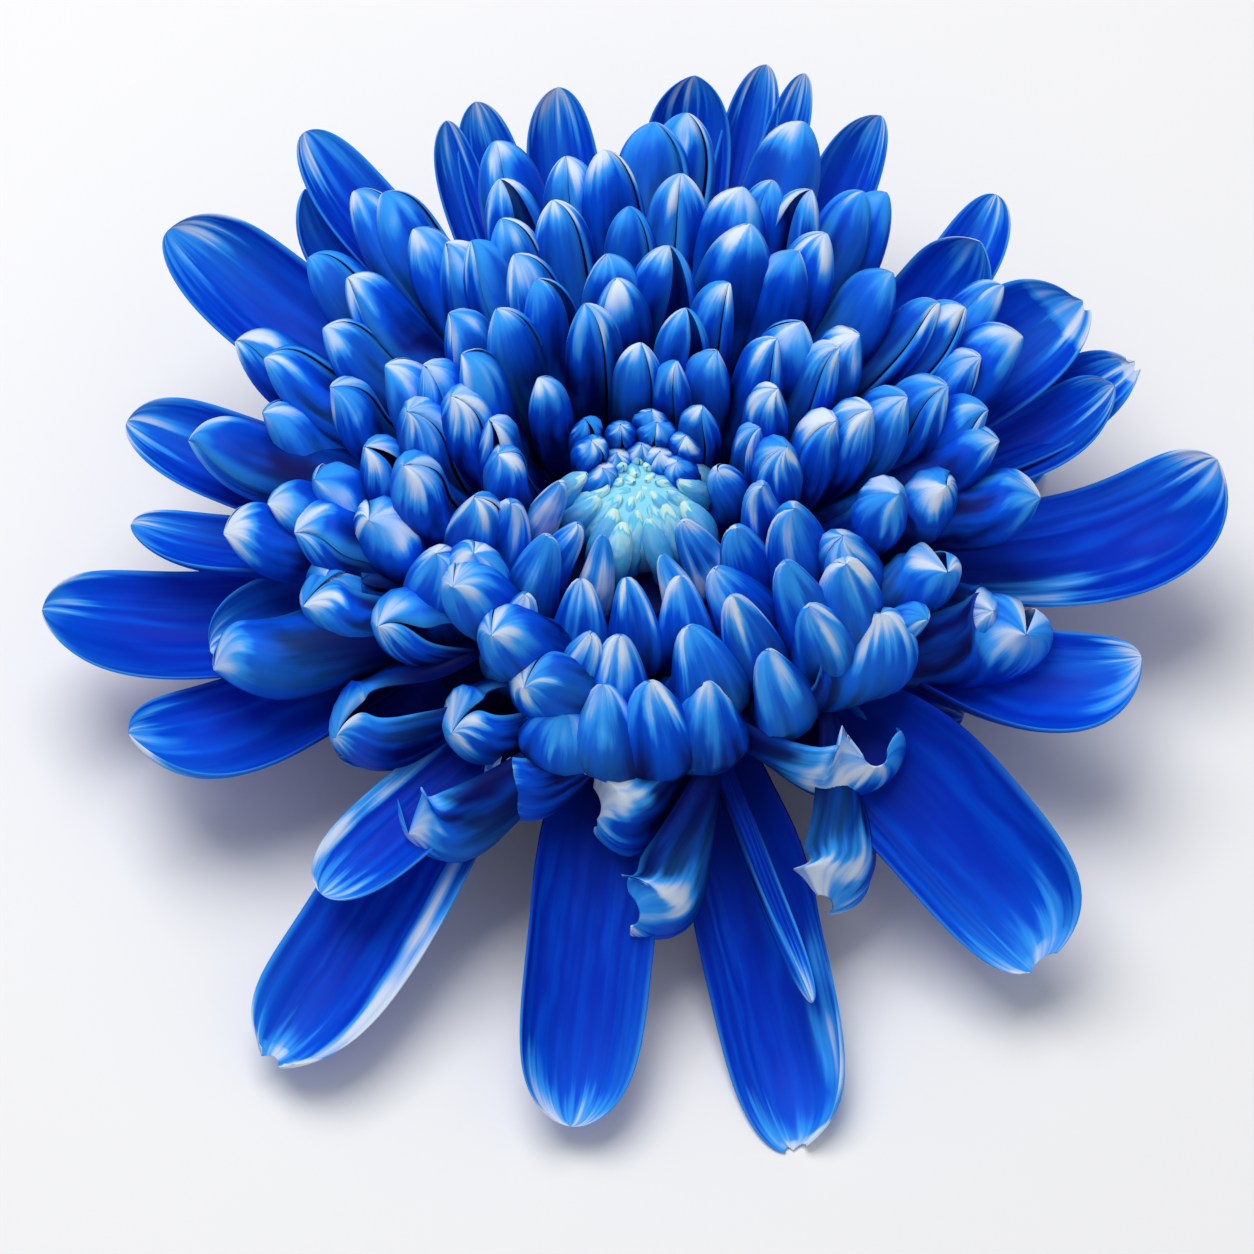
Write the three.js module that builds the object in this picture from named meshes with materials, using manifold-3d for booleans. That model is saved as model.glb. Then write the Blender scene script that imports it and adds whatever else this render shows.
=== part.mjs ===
// Cut bloom of a cremon chrysanthemum, modelled in millimetres with +Z up.
// The bloom rests on the tips of its low petals. The origin is on that surface,
// under the middle of the bloom, and the camera of the photograph looks along +Y.
import * as THREE from "three";
import { mergeVertices } from "three/addons/utils/BufferGeometryUtils.js";
import Module from "manifold-3d";

const wasm = await Module();
wasm.setup();

// Driving dimensions
const EYE_HEIGHT = 38; // top of the green eye above the surface
const EYE_FLORETS = 30;
const EYE_REACH = 8.5; // radius of the eye at its widest
const RULE_PETALS = 120; // florets placed at the golden angle, the eye's included
const GOLDEN_ANGLE = 137.50776;
const BLADE = 1; // thickness of a petal along its middle, thinning towards the margins
const CLOSED = 150; // a petal cupped more than this is a closed finger
const SLIM = 0.8; // share of their real width that these coarse petals have
const FINEST = 0.02; // slivers thinner than this are left out of the joined solids
const GAP = 0.3; // clearance between the bloom, the eye and the stem
const CORE = { radius: 32, height: 21, up: 16, down: 6 };
const STEM_RADIUS = 3.6;
const STEM_END = 0.4; // the cut end of the stem hangs this far above the surface
const CALYX = { radius: 12.6, top: 15.3, foot: 7.5 };
const BRACT_ROWS = [
  { count: 11, root: 5.2, reach: 13.6, low: 7.4, high: 12.8, width: 5.2 },
  { count: 13, root: 8.2, reach: 15.4, low: 10.4, high: 14.6, width: 5.4 },
];

// Height of the petals' tips by their reach, towards the viewer and away
const FRONT_PROFILE = [[0, 38], [9, 39.5], [21, 40], [28, 36], [36, 21], [44, 11], [54, 5], [64, -0.5]];
const BACK_PROFILE = [[0, 38], [9, 41], [21, 45], [38, 42], [54, 34], [66, 29]];
// Width of the incurved petals by their reach
const INNER_WIDTH = [[9, 4.8], [13, 6.2], [20, 8.2], [28, 9.4], [37, 10.2]];
// Staggered arcs of incurved petals before the eye
const FRONT_RINGS = { count: 4, first: 10, apart: 5.6, from: -172, to: -8, overlap: 0.78 };

// Azimuth, reach, width and pitch at the tip of each outermost petal, read by eye off the
// photograph, then what sets it apart from the others
const GUARD_ROW = [
  [14, 69, 15, 45, { cup: 60, tipTurn: 20, turn: -12, twist: -20 }],
  [-9, 57, 13, 20, { tipTurn: 10 }],
  [-46, 60, 17, -25, { cup: 50 }],
  [-75, 63, 15.5, -12, { cup: 48, lift: -3.4 }],
  [-97, 60, 14.5, -18, { cup: 52 }],
  [-127, 66, 15, -8, { cup: 46, turn: 6 }],
  [-133, 50, 11, -16, { cup: 60, turn: -8 }],
  [-163, 60, 13.5, 22, { turn: 4, twist: 16 }],
  [-178, 68, 13, 24, { cup: 76, turn: -6, twist: 10 }],
  [174, 58, 9, 24, { cup: 80 }],
  [162, 62, 11, 22, { cup: 80, turn: -6 }],
  [143, 69, 13, 28, { cup: 64, lift: 4 }],
  [129, 63, 9, 58, { turn: 6 }],
  [126, 67, 9, 34, { cup: 80, turn: 10, lift: 4 }],
  [112, 61, 6.5, 52, {}],
  [108, 63, 8, 52, {}],
  [99, 62, 9, 48, {}],
  [84, 65, 10.5, 66, {}],
  [77, 68, 7, 50, {}],
  [73, 68, 5.5, 50, { turn: -5 }],
  [64, 66, 8.5, 48, {}],
  [49, 64, 9, 36, { tipTurn: 14 }],
  [45, 57, 11.5, 64, {}],
  [33, 62, 14, 30, { cup: 52 }],
  [25, 64, 10, 36, {}],
  [23, 60, 9.5, 52, {}],
];
const SECOND_ROW = [
  [-50, 40, 14, 46, { turn: 16, tipTurn: 34, twist: -78, wave: 0.6, cup: 112, cupTip: 130 }],
  [-58, 47, 13, 6, { turn: -12, tipTurn: -56, twist: 95, wave: 0.8, cup: 96, cupTip: 104 }],
  [-69, 52, 5.5, -18, { turn: 6, cup: 90, cupTip: 120 }],
  [-88, 45, 13, 24, { turn: -14, tipTurn: -60, twist: 85, wave: 0.7, cup: 104, cupTip: 120, lift: 3 }],
  [-96, 37, 14, 18, { turn: -22, tipTurn: -74, twist: 85, wave: 0.8, cup: 92, cupTip: 98 }],
  [-114, 37, 12.5, 44, { turn: -18, tipTurn: -52, twist: 62, wave: 0.4, cup: 118, cupTip: 136 }],
  [-125, 44, 14, 52, { turn: -12, tipTurn: -40, twist: 55, wave: 0.6, cup: 112, cupTip: 128 }],
  [-126, 35, 13.5, 60, { turn: -14, tipTurn: -46, twist: 52, wave: 0.2, cup: 124, cupTip: 145 }],
  [-142, 42, 13, 60, { turn: -8, tipTurn: -30, twist: 26, wave: 0.2, cup: 130, cupTip: 150 }],
  [-115, 30, 12.5, 50, { turn: -16, tipTurn: -56, twist: 52, cup: 126, cupTip: 145 }],
  [-126, 28, 11.5, 62, { turn: -12, tipTurn: -46, twist: 34, cup: 130, cupTip: 150 }],
  [-141, 27, 11, 66, { turn: -8, tipTurn: -32, twist: 28, cup: 132, cupTip: 150 }],
  [-150, 34, 12, 62, { turn: -8, tipTurn: -26, twist: 30, cup: 132, cupTip: 150 }],
  [-163, 40, 12, 60, { turn: -6, tipTurn: -12, twist: 26, cup: 132, cupTip: 155 }],
  [-161, 50, 12, 34, { tipTurn: -10, twist: 28, cup: 130, cupTip: 150 }],
  [-176, 40, 10, 46, {}],
  [180, 48, 11, 36, {}],
  [177, 43, 9.5, 42, {}],
  [166, 54, 11, 30, {}],
  [154, 49, 10, 38, {}],
  [152, 54, 10.5, 36, {}],
  [148, 44, 9.5, 44, {}],
  [139, 46, 9.5, 44, {}],
  [138, 53, 10, 38, {}],
  [127, 57, 9.5, 40, {}],
  [127, 45, 9.5, 50, {}],
  [125, 54, 10, 44, {}],
  [123, 37, 8.5, 56, {}],
  [116, 38, 9, 58, {}],
  [109, 54, 10.5, 48, {}],
  [106, 38, 9, 60, {}],
  [101, 47, 9.5, 56, {}],
  [92, 35, 8, 62, {}],
  [88, 54, 12, 54, {}],
  [84, 56, 11, 50, { turn: -6 }],
  [83, 42, 9.5, 58, {}],
  [70, 59, 11, 44, {}],
  [69, 45, 8.5, 54, {}],
  [58, 51, 9.5, 48, {}],
  [57, 35, 8.5, 60, {}],
  [56, 53, 8.5, 46, { turn: 5 }],
  [56, 40, 9, 54, {}],
  [44, 42, 9.5, 50, {}],
  [37, 54, 9, 40, {}],
  [37, 44, 8, 44, {}],
  [35, 47, 9.5, 42, {}],
  [29, 52, 11, 40, {}],
  [18, 43, 10, 48, {}],
  [13, 43, 9.5, 46, {}],
  [5, 47, 11, 44, { turn: -8 }],
  [-14, 43, 10, 84, { turn: 21, tipTurn: -16, twist: -62, cup: 104, cupTip: 118, hood: 0.5 }],
  [-17, 34, 9.5, 72, { turn: 18, wave: 0.8, cup: 105, cupTip: 120 }],
  [-23, 35, 5.5, 60, { turn: 12 }],
  [-33, 31, 12.5, 115, { turn: 21, tipTurn: -34, cup: 104, cupTip: 140, end: 0.7, widest: 0.5, blunt: 2.4 }],
];
// Azimuth, reach and height of the low petals, most of them under the far side
const LOW_ROW = [
  [32, 56, -3], [58, 54, 6], [90, 55, 3], [120, 54, 6], [150, 56, -3], [-20, 38, 8],
  [-150, 38, 10], [-172, 48, 12], [5, 50, 12],
];
const FIRST_ROW_SEED = 501; // seeds of the petals listed above start here
const FRONT_RING_SEED = 701;
const SIDE_TILT = 22; // most that a petal at the sides is turned about its length, in degrees
const FRONT_EDGE = 30; // the rule's florets that point towards the viewer reach no further
const FRONT_SHARE = 0.62; // nearness past which a floret counts as pointing towards the viewer
const ARC_SPACING = 4.2; // least distance of a front arc's tip to the tips placed before it
const PETAL_SPACING = 6; // the same for a floret of the rule

const radians = THREE.MathUtils.degToRad;
const mix = THREE.MathUtils.lerp;

function smooth(x) {
  return THREE.MathUtils.smoothstep(x, 0, 1);
}

function draw(seed, channel) {
  const x = Math.sin(seed * 12.9898 + channel * 78.233) * 43758.5453;
  return x - Math.floor(x);
}

// Value at x of a line through the stops, each a pair of x and value
function through(x, stops) {
  for (let k = 1; k < stops.length; k += 1) {
    const [x0, v0] = stops[k - 1];
    const [x1, v1] = stops[k];
    if (x <= x1) return mix(v0, v1, Math.max(0, (x - x0) / (x1 - x0)));
  }
  return stops[stops.length - 1][1];
}

function polar(azimuth, radius, height) {
  const a = radians(azimuth);
  return new THREE.Vector3(radius * Math.cos(a), radius * Math.sin(a), height);
}

function heading(azimuth, pitch) {
  return polar(azimuth, Math.cos(radians(pitch)), Math.sin(radians(pitch)));
}

// One petal: where it is rooted and ends, how it is cupped, and how wide it is along its length
const PLAIN_PETAL = {
  azimuth: 0, reach: 30, height: 38, pitch: 90, rootRadius: 8, rootHeight: 22, rise: 20,
  start: 0.4, end: 0.33, turn: 0, tipTurn: 0, twist: 0, lean: 0, wave: 0, seed: 0, lift: 0,
  width: 9, neck: 0.7, widest: 0.64, deep: 0.75, blunt: 2.8, hood: 1, nib: 0.4,
  cupRoot: 150, cup: 140, cupTip: 165,
};

// Place and axes of a petal's midrib at share t of its length: along, across and inward
function midrib(petal, t) {
  const rootAzimuth = petal.azimuth - petal.turn;
  const tipHeading = petal.azimuth + petal.tipTurn;
  const root = polar(rootAzimuth, petal.rootRadius, petal.rootHeight);
  const tip = polar(petal.azimuth, petal.reach, petal.height);
  const chord = root.distanceTo(tip);
  const early = root.clone().addScaledVector(heading(rootAzimuth, petal.rise), chord * petal.start);
  const late = tip.clone().addScaledVector(heading(tipHeading, petal.pitch), -chord * petal.end);
  const line = new THREE.CubicBezierCurve3(root, early, late, tip);
  const along = new THREE.Vector3()
    .addScaledVector(early.clone().sub(root), (1 - t) ** 2)
    .addScaledVector(late.clone().sub(early), 2 * (1 - t) * t)
    .addScaledVector(tip.clone().sub(late), t * t)
    .normalize();
  const facing = radians(mix(rootAzimuth, tipHeading, t));
  const across = new THREE.Vector3(Math.sin(facing), -Math.cos(facing), 0);
  across.addScaledVector(along, -across.dot(along)).normalize();
  const inward = across.clone().cross(along);
  const twist = radians(petal.twist * t ** 1.6);
  const [c, s] = [Math.cos(twist), Math.sin(twist)];
  const turnedAcross = across.clone().multiplyScalar(c).addScaledVector(inward, -s);
  const turnedInward = inward.multiplyScalar(c).addScaledVector(across, s);
  return { place: line.getPoint(t), across: turnedAcross, inward: turnedInward };
}

// Half of the width that a petal shows, round at the end with a small nib
function halfWidth(petal, t) {
  const grow = petal.neck + (1 - petal.neck) * smooth(t / petal.widest);
  const closing = Math.max(0, (t - petal.widest) / (1 - petal.widest));
  const body = grow * Math.sqrt(Math.max(0, 1 - closing ** petal.blunt));
  return Math.max(((SLIM * petal.width) / 2) * body, petal.nib);
}

function cupAngle(petal, t) {
  const opening = (petal.cup - petal.cupRoot) * smooth(t / 0.5);
  const closing = (petal.cupTip - petal.cup) * smooth((t - 0.6) / 0.38);
  return radians(petal.cupRoot + opening + closing);
}

// How far a petal's end bends over its own hollow
function hoodDepth(petal, t) {
  const over = smooth((t - 0.55) / 0.45);
  return ((petal.hood * petal.width) / 2) * petal.deep * (1 - Math.sqrt(1 - 0.999 * over ** 2));
}

// Point of a petal at s across it, -1 to 1, and t along it, lifted off its middle face
function petalPoint(petal, s, t, lift) {
  const { place, across, inward } = midrib(petal, t);
  const cup = cupAngle(petal, t);
  const curl = halfWidth(petal, t) / Math.sin(Math.min(cup, Math.PI / 2));
  const angle = cup * (s + petal.lean * Math.abs(s) * smooth(t / 0.5));
  const side = (curl - lift) * Math.sin(angle);
  const phase = 2.2 * t + (s > 0 ? 0.5 : 0) + draw(petal.seed, 9);
  const ripple = petal.wave * s * s * smooth((t - 0.45) / 0.4) * Math.sin(2 * Math.PI * phase);
  const depth = petal.deep * (curl - (curl - lift) * Math.cos(angle)) + hoodDepth(petal, t) + ripple;
  return place.addScaledVector(across, side).addScaledVector(inward, depth);
}

function solidFrom(positions, triangles) {
  const mesh = new wasm.Mesh({
    numProp: 3,
    vertProperties: new Float32Array(positions),
    triVerts: new Uint32Array(triangles),
  });
  return new wasm.Manifold(mesh);
}

// Share of the length at which a petal, followed from its root, is about to leave the core
function coreExit(petal) {
  const sunk = 0.75;
  for (let t = 0; t < 0.9; t += 0.02) {
    const { place } = midrib(petal, t);
    const rise = place.z - CORE.height;
    const share = Math.hypot(place.x, place.y) / CORE.radius;
    const lift = rise / (rise > 0 ? CORE.up : CORE.down);
    if (share ** 2 + lift ** 2 > sunk) return t;
  }
  return 0;
}

// Closed blade of an open petal with a lens-shaped section that thins to an edge at both
// margins. Both faces are split along like diagonals.
function blade(petal, sides, stations) {
  const from = coreExit(petal);
  const outer = sides.map((s) => [s, Math.abs(s) < 1 ? -BLADE / 2 : 0]);
  const inner = sides.slice(1, -1).reverse().map((s) => [s, BLADE / 2]);
  const section = [...outer, ...inner];
  const ring = section.length;
  const positions = [];
  const triangles = [];
  for (const station of stations) {
    const t = from + (1 - from) * station;
    for (const [s, lift] of section) positions.push(...petalPoint(petal, s, t, lift).toArray());
  }
  for (let k = 0; k + 1 < stations.length; k += 1) {
    for (let i = 0; i < ring; i += 1) {
      const a = k * ring + i;
      const b = k * ring + ((i + 1) % ring);
      if (i + 1 < sides.length) triangles.push(a, b + ring, b, a, a + ring, b + ring);
      else triangles.push(a, a + ring, b, b, a + ring, b + ring);
    }
  }
  const last = (stations.length - 1) * ring;
  for (let i = 0; i + 1 < sides.length; i += 1) {
    const a = (ring - i) % ring;
    const b = ring - 1 - i;
    if (a !== i) triangles.push(i, i + 1, a, last + i, last + a, last + i + 1);
    if (b !== i + 1) triangles.push(i + 1, b, a, last + i + 1, last + a, last + b);
  }
  return solidFrom(positions, triangles);
}

// Filled finger of a closed petal: five-sided sections that end in a point
function finger(petal, stations) {
  const sides = 5;
  const from = coreExit(petal);
  const positions = [];
  const triangles = [];
  for (const station of stations) {
    const t = from + (1 - from) * station;
    const { place, across, inward } = midrib(petal, t);
    const half = halfWidth(petal, t);
    for (let i = 0; i < sides; i += 1) {
      const angle = (2 * Math.PI * i) / sides;
      const depth = half * petal.deep * (1 - Math.cos(angle)) + hoodDepth(petal, t);
      const point = place.clone().addScaledVector(across, half * Math.sin(angle));
      positions.push(...point.addScaledVector(inward, depth).toArray());
    }
  }
  const { place, inward } = midrib(petal, 1);
  positions.push(...place.addScaledVector(inward, hoodDepth(petal, 1)).toArray());
  const last = (stations.length - 1) * sides;
  for (let i = 0; i < sides; i += 1) {
    const beside = (i + 1) % sides;
    for (let k = 0; k < last; k += sides) {
      triangles.push(k + i, k + beside + sides, k + beside, k + i, k + i + sides, k + beside + sides);
    }
    triangles.push(last + i, last + sides, last + beside);
    if (i > 0 && beside > 0) triangles.push(0, i, beside);
  }
  return solidFrom(positions, triangles);
}

// Solid of an incurved or second-row petal, filled where its margins meet
function podOrBoat(petal) {
  if (petal.cup >= CLOSED) return finger(petal, petal.reach > 42 ? [0, 0.55, 0.88] : [0, 0.8]);
  return blade(petal, [-1, -0.4, 0.4, 1], [0, 0.5, 0.9]);
}

// Solid of revolution about Z from pairs of radius and height, listed from the foot up
function turned(profile, segments) {
  const points = profile.map(([radius, height]) => new THREE.Vector2(radius, height));
  const lathe = new THREE.LatheGeometry(points, segments);
  lathe.rotateX(Math.PI / 2);
  return solidOf(lathe);
}

function solidOf(geometry) {
  geometry.deleteAttribute("normal");
  geometry.deleteAttribute("uv");
  const merged = mergeVertices(geometry, 1e-4);
  return solidFrom(merged.attributes.position.array, merged.index.array);
}

function fused(solids) {
  return solids.reduce((whole, solid) => whole.add(solid));
}

// The largest piece of a solid, without its loose scraps and sealed hollows
function soundBody(solid) {
  return solid.decompose().reduce((best, piece) => (piece.volume() > best.volume() ? piece : best));
}

function meshOf(name, solid, colour, roughness) {
  const clean = soundBody(solid).asOriginal().simplify(FINEST);
  const { vertProperties, triVerts } = clean.getMesh();
  const geometry = new THREE.BufferGeometry();
  geometry.setAttribute("position", new THREE.BufferAttribute(vertProperties, 3));
  geometry.setIndex(new THREE.BufferAttribute(triVerts, 1));
  geometry.computeVertexNormals();
  const material = new THREE.MeshStandardMaterial({ color: colour, roughness, metalness: 0 });
  const mesh = new THREE.Mesh(geometry, material);
  mesh.name = name;
  return mesh;
}

// 0 for a petal that points away from the viewer, 1 for one that points towards the viewer
function nearness(azimuth) {
  return 0.5 - 0.5 * Math.sin(radians(azimuth));
}

// Height of the tips over the bloom, which rolls down towards the viewer
function tipHeight(azimuth, reach) {
  return mix(through(reach, BACK_PROFILE), through(reach, FRONT_PROFILE), nearness(azimuth));
}

// Twist that turns the hollow side of a petal at the sides away from the viewer
function tilted(azimuth) {
  return -SIDE_TILT * Math.cos(radians(azimuth));
}

// Petals of a row listed by hand
function listedPetals(row, base, firstSeed) {
  return row.map(([azimuth, reach, width, pitch, more], k) => {
    const height = tipHeight(azimuth, reach) + (more.lift ?? 0);
    const seed = firstSeed + k;
    const lean = 0.5 * draw(seed, 13) - 0.25;
    const place = { azimuth, reach, height, width, pitch, twist: tilted(azimuth) };
    const petal = { ...PLAIN_PETAL, ...place, ...base(height), seed, lean, ...more };
    return { ...petal, cupRoot: Math.min(petal.cupRoot, petal.cup + 8) };
  });
}

function guardBase(height) {
  return {
    rootRadius: 12, rootHeight: 18, rise: mix(-8, 12, Math.min(1, height / 25)),
    cupRoot: 80, cup: 62, cupTip: 62, end: 0.36, widest: 0.6, deep: 0.8, blunt: 3, hood: 0.4,
  };
}

function secondBase(height) {
  return {
    rootRadius: 11, rootHeight: 21, rise: mix(-8, 18, Math.min(1, height / 34)),
    cup: 176, cupTip: 179, start: 0.42, end: 0.34,
  };
}

function lowBase() {
  return {
    rootRadius: 12, rootHeight: 16.5, rise: -6, cupRoot: 70, cup: 56, cupTip: 60,
    deep: 0.8, blunt: 2.4, hood: 0.5,
  };
}

function outerPetals() {
  const guard = listedPetals(GUARD_ROW, guardBase, FIRST_ROW_SEED);
  const second = listedPetals(SECOND_ROW, secondBase, FIRST_ROW_SEED + guard.length);
  const lowRow = LOW_ROW.map(([azimuth, reach, height]) => [azimuth, reach, 11, -14, { height }]);
  const low = listedPetals(lowRow, lowBase, FIRST_ROW_SEED + guard.length + second.length);
  return { guard, second, low };
}

function eyeFloret(index) {
  const jitter = (channel) => draw(index, channel) * 2 - 1;
  const share = index / EYE_FLORETS;
  return {
    ...PLAIN_PETAL, seed: index, azimuth: index * GOLDEN_ANGLE,
    reach: mix(0.4, 4.4, share ** 1.3) + 0.3 * jitter(0),
    height: EYE_HEIGHT - 0.9 + 0.5 * share + 0.3 * jitter(1),
    rootRadius: mix(4, 9.4, share ** 0.7), rootHeight: 29.5, rise: mix(62, 74, share),
    pitch: mix(158, 150, share) + 6 * jitter(3), start: 0.42, end: 0.5, turn: 6 * jitter(2),
    width: mix(2, 3.1, share) + 0.2 * jitter(4), neck: 0.8, widest: 0.5, deep: 0.8,
    blunt: 2.2, nib: 0.2, hood: 0.4,
  };
}

// One petal of the staggered arcs before the eye
function frontPetal(seed, share, middle) {
  const jitter = (channel) => draw(seed, channel) * 2 - 1;
  const azimuth = mix(FRONT_RINGS.from, FRONT_RINGS.to, share);
  const near = nearness(azimuth);
  const reach = middle + 1.1 * jitter(0);
  const inside = smooth(reach / 30);
  return {
    ...PLAIN_PETAL, seed, azimuth, reach, height: tipHeight(azimuth, reach) + 0.8 * jitter(1),
    width: through(reach, INNER_WIDTH) * (1 + 0.12 * jitter(2)),
    pitch: through(near, [[0.3, 75], [0.5, 88], [0.75, 112], [1, 128]]) + 6 * jitter(3),
    rootRadius: mix(7, 11, inside), rootHeight: mix(24, 19, inside),
    rise: through(reach, [[8, 50], [14, 22], [22, 2], [36, -4]]), start: 0.5, end: mix(0.5, 0.8, near),
    turn: 10 * jitter(4), tipTurn: 14 * jitter(5), twist: 8 * jitter(6), lean: 0.25 * jitter(7),
    widest: mix(0.62, 0.5, near), blunt: mix(2.8, 2.2, near), cup: 165, cupTip: 178,
  };
}

function frontPetals() {
  const petals = [];
  for (let ring = 0; ring < FRONT_RINGS.count; ring += 1) {
    const middle = FRONT_RINGS.first + FRONT_RINGS.apart * ring;
    const arc = radians(FRONT_RINGS.to - FRONT_RINGS.from) * middle;
    const count = Math.round(arc / (FRONT_RINGS.overlap * through(middle, INNER_WIDTH)));
    for (let k = 0; k < count; k += 1) {
      const seed = FRONT_RING_SEED + petals.length;
      const stagger = ring % 2 ? 0.25 : -0.25;
      const share = (k + 0.5 + stagger + 0.4 * (draw(seed, 8) - 0.5)) / count;
      petals.push(frontPetal(seed, share, middle));
    }
  }
  return petals;
}

// One petal of the golden-angle rule, round the back and sides of the eye
function innerPetal(index) {
  const jitter = (channel) => draw(index, channel) * 2 - 1;
  const order = index - EYE_FLORETS;
  const share = order / (RULE_PETALS - EYE_FLORETS);
  const golden = index * GOLDEN_ANGLE;
  const near = nearness(golden);
  const azimuth = golden + 2.5 * jitter(3);
  const reach = 8.8 + 0.26 * order + 0.0018 * order ** 2 + 0.6 * jitter(0);
  const behind = through(reach, [[9, 98], [17, 66], [25, 56], [37, 50]]);
  const before = through(reach, [[9, 130], [17, 126], [25, 120], [37, 112]]);
  const opened = draw(index, 12) > 0.78;
  return {
    ...PLAIN_PETAL, seed: index, azimuth, reach,
    height: tipHeight(azimuth, reach) + 1.2 * jitter(1),
    rootRadius: mix(6, 11, share), rootHeight: mix(26, 20, share),
    rise: through(share, [[0, 58], [0.3, 32], [0.6, 18], [1, 6]]) + 4 * jitter(0),
    pitch: mix(behind, before, near) + 9 * jitter(4),
    start: 0.42, end: mix(0.36, 0.66, near) + 0.06 * jitter(5),
    turn: 5 * jitter(2), tipTurn: 12 * jitter(7), twist: tilted(azimuth) + 12 * jitter(6),
    lean: 0.3 * jitter(4),
    width: through(reach, INNER_WIDTH) * (1 + 0.1 * jitter(6)),
    cup: opened ? 142 : 176, cupTip: opened ? 164 : 179,
  };
}

function tipOf(petal) {
  return polar(petal.azimuth, petal.reach, petal.height);
}

// The front arcs and the golden-angle petals, each kept clear of the tips placed before it
function innerPetals(others) {
  const tips = others.map(tipOf);
  const petals = [];
  const addClear = (petal, spacing) => {
    const tip = tipOf(petal);
    if (!tips.every((other) => other.distanceTo(tip) >= spacing)) return;
    petals.push(petal);
    tips.push(tip);
  };
  for (const petal of frontPetals()) addClear(petal, ARC_SPACING);
  for (let index = EYE_FLORETS; index < RULE_PETALS; index += 1) {
    const petal = innerPetal(index);
    const towardsViewer = nearness(petal.azimuth) > FRONT_SHARE;
    if (!towardsViewer || petal.reach <= FRONT_EDGE) addClear(petal, PETAL_SPACING);
  }
  return petals;
}

// Egg-shaped room that the eye stands in, grown or shrunk by a margin
function eyeRoom(margin) {
  const profile = [
    [0, 29.6], [EYE_REACH - 1.9, 29.6], [EYE_REACH - 0.6, 32.5], [EYE_REACH, 35.5],
    [EYE_REACH - 0.7, 38.5], [EYE_REACH - 3, 40.6], [0, 41.6],
  ];
  const grown = profile.map(([radius, height], k) => {
    const reach = radius > 0 ? radius + margin : 0;
    return [reach, height + (k < 2 ? -margin : 0) + (k > 4 ? margin : 0)];
  });
  return turned(grown, 26);
}

function coreSolid() {
  const steps = 5;
  const profile = [];
  for (let k = 0; k <= 2 * steps; k += 1) {
    const angle = (k / steps - 1) * (Math.PI / 2);
    const tall = angle < 0 ? CORE.down : CORE.up;
    profile.push([k % (2 * steps) ? CORE.radius * Math.cos(angle) : 0, CORE.height + tall * Math.sin(angle)]);
  }
  return turned(profile, 24);
}

function bluePetals() {
  const { guard, second, low } = outerPetals();
  const inner = innerPetals([...guard, ...second]);
  const petals = [
    ...[...guard, ...low].map((petal) => blade(petal, [-1, -0.4, 0.4, 1], [0, 0.35, 0.75, 0.98])),
    ...[...second, ...inner].map(podOrBoat),
  ];
  const bloom = fused([coreSolid(), ...petals]);
  return bloom.subtract(eyeRoom(0)).subtract(stemRoom(0)).intersect(aboveSurface());
}

function greenEye() {
  const florets = [];
  for (let index = 0; index < EYE_FLORETS; index += 1) {
    florets.push(finger(eyeFloret(index), [0, 0.5, 0.88]));
  }
  const dome = turned([[0, 29], [8, 29], [7.6, 33.5], [5, 35.2], [0, 36]], 20);
  return fused([dome, ...florets]).intersect(eyeRoom(-GAP));
}

// Room under the bloom for the stem and its bracts
function stemRoom(margin) {
  const reach = 16 + margin;
  const top = CALYX.top + margin;
  return turned([[0, -1], [reach, -1], [reach, top], [0, top]], 24);
}

function bract(row, index) {
  const azimuth = (360 / row.count) * (index + 0.5 * (row.count % 2));
  return {
    ...PLAIN_PETAL, seed: index, azimuth, reach: row.reach, height: row.high, pitch: 34,
    rootRadius: row.root, rootHeight: row.low, rise: 20, width: row.width,
    neck: 0.9, widest: 0.3, blunt: 1.4, deep: 0.8, hood: 0, nib: 0.1, cupRoot: 40, cup: 40, cupTip: 40,
  };
}

function stemAndBracts() {
  const body = turned([
    [0, STEM_END], [STEM_RADIUS, STEM_END], [STEM_RADIUS, CALYX.foot - 1.5],
    [CALYX.radius * 0.55, CALYX.foot + 1], [CALYX.radius * 0.9, CALYX.top - 3],
    [CALYX.radius, CALYX.top + 1], [0, CALYX.top + 1],
  ], 24);
  const bracts = BRACT_ROWS.flatMap((row) => (
    Array.from({ length: row.count }, (_, index) => blade(bract(row, index), [-1, 0, 1], [0, 0.5, 0.97]))
  ));
  return fused([body, ...bracts]).intersect(stemRoom(-GAP));
}

function aboveSurface() {
  const size = 200;
  const box = new THREE.BoxGeometry(size, size, size);
  box.translate(0, 0, size / 2);
  return solidOf(box);
}

const bloom = new THREE.Group();
bloom.add(
  meshOf("blue_petals", bluePetals(), 0x0f4fd8, 0.5),
  meshOf("green_eye", greenEye(), 0x9fdcc4, 0.5),
  meshOf("stem_and_bracts", stemAndBracts(), 0x5f8f4a, 0.6),
);

const spread = new THREE.Box3().setFromObject(bloom, true).getCenter(new THREE.Vector3());
bloom.position.set(-spread.x, -spread.y, 0);

export default bloom;
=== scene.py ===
"""Cut bloom of a cremon chrysanthemum: blue channelled petals round a pale green eye.

Run as a script inside Blender 4.5. Lengths are in millimetres until a mesh is made, and a
petal is followed from its root (along = 0) to its tip (along = 1) and from one margin
(across = -1) to the other (across = 1).
"""

import math

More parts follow.
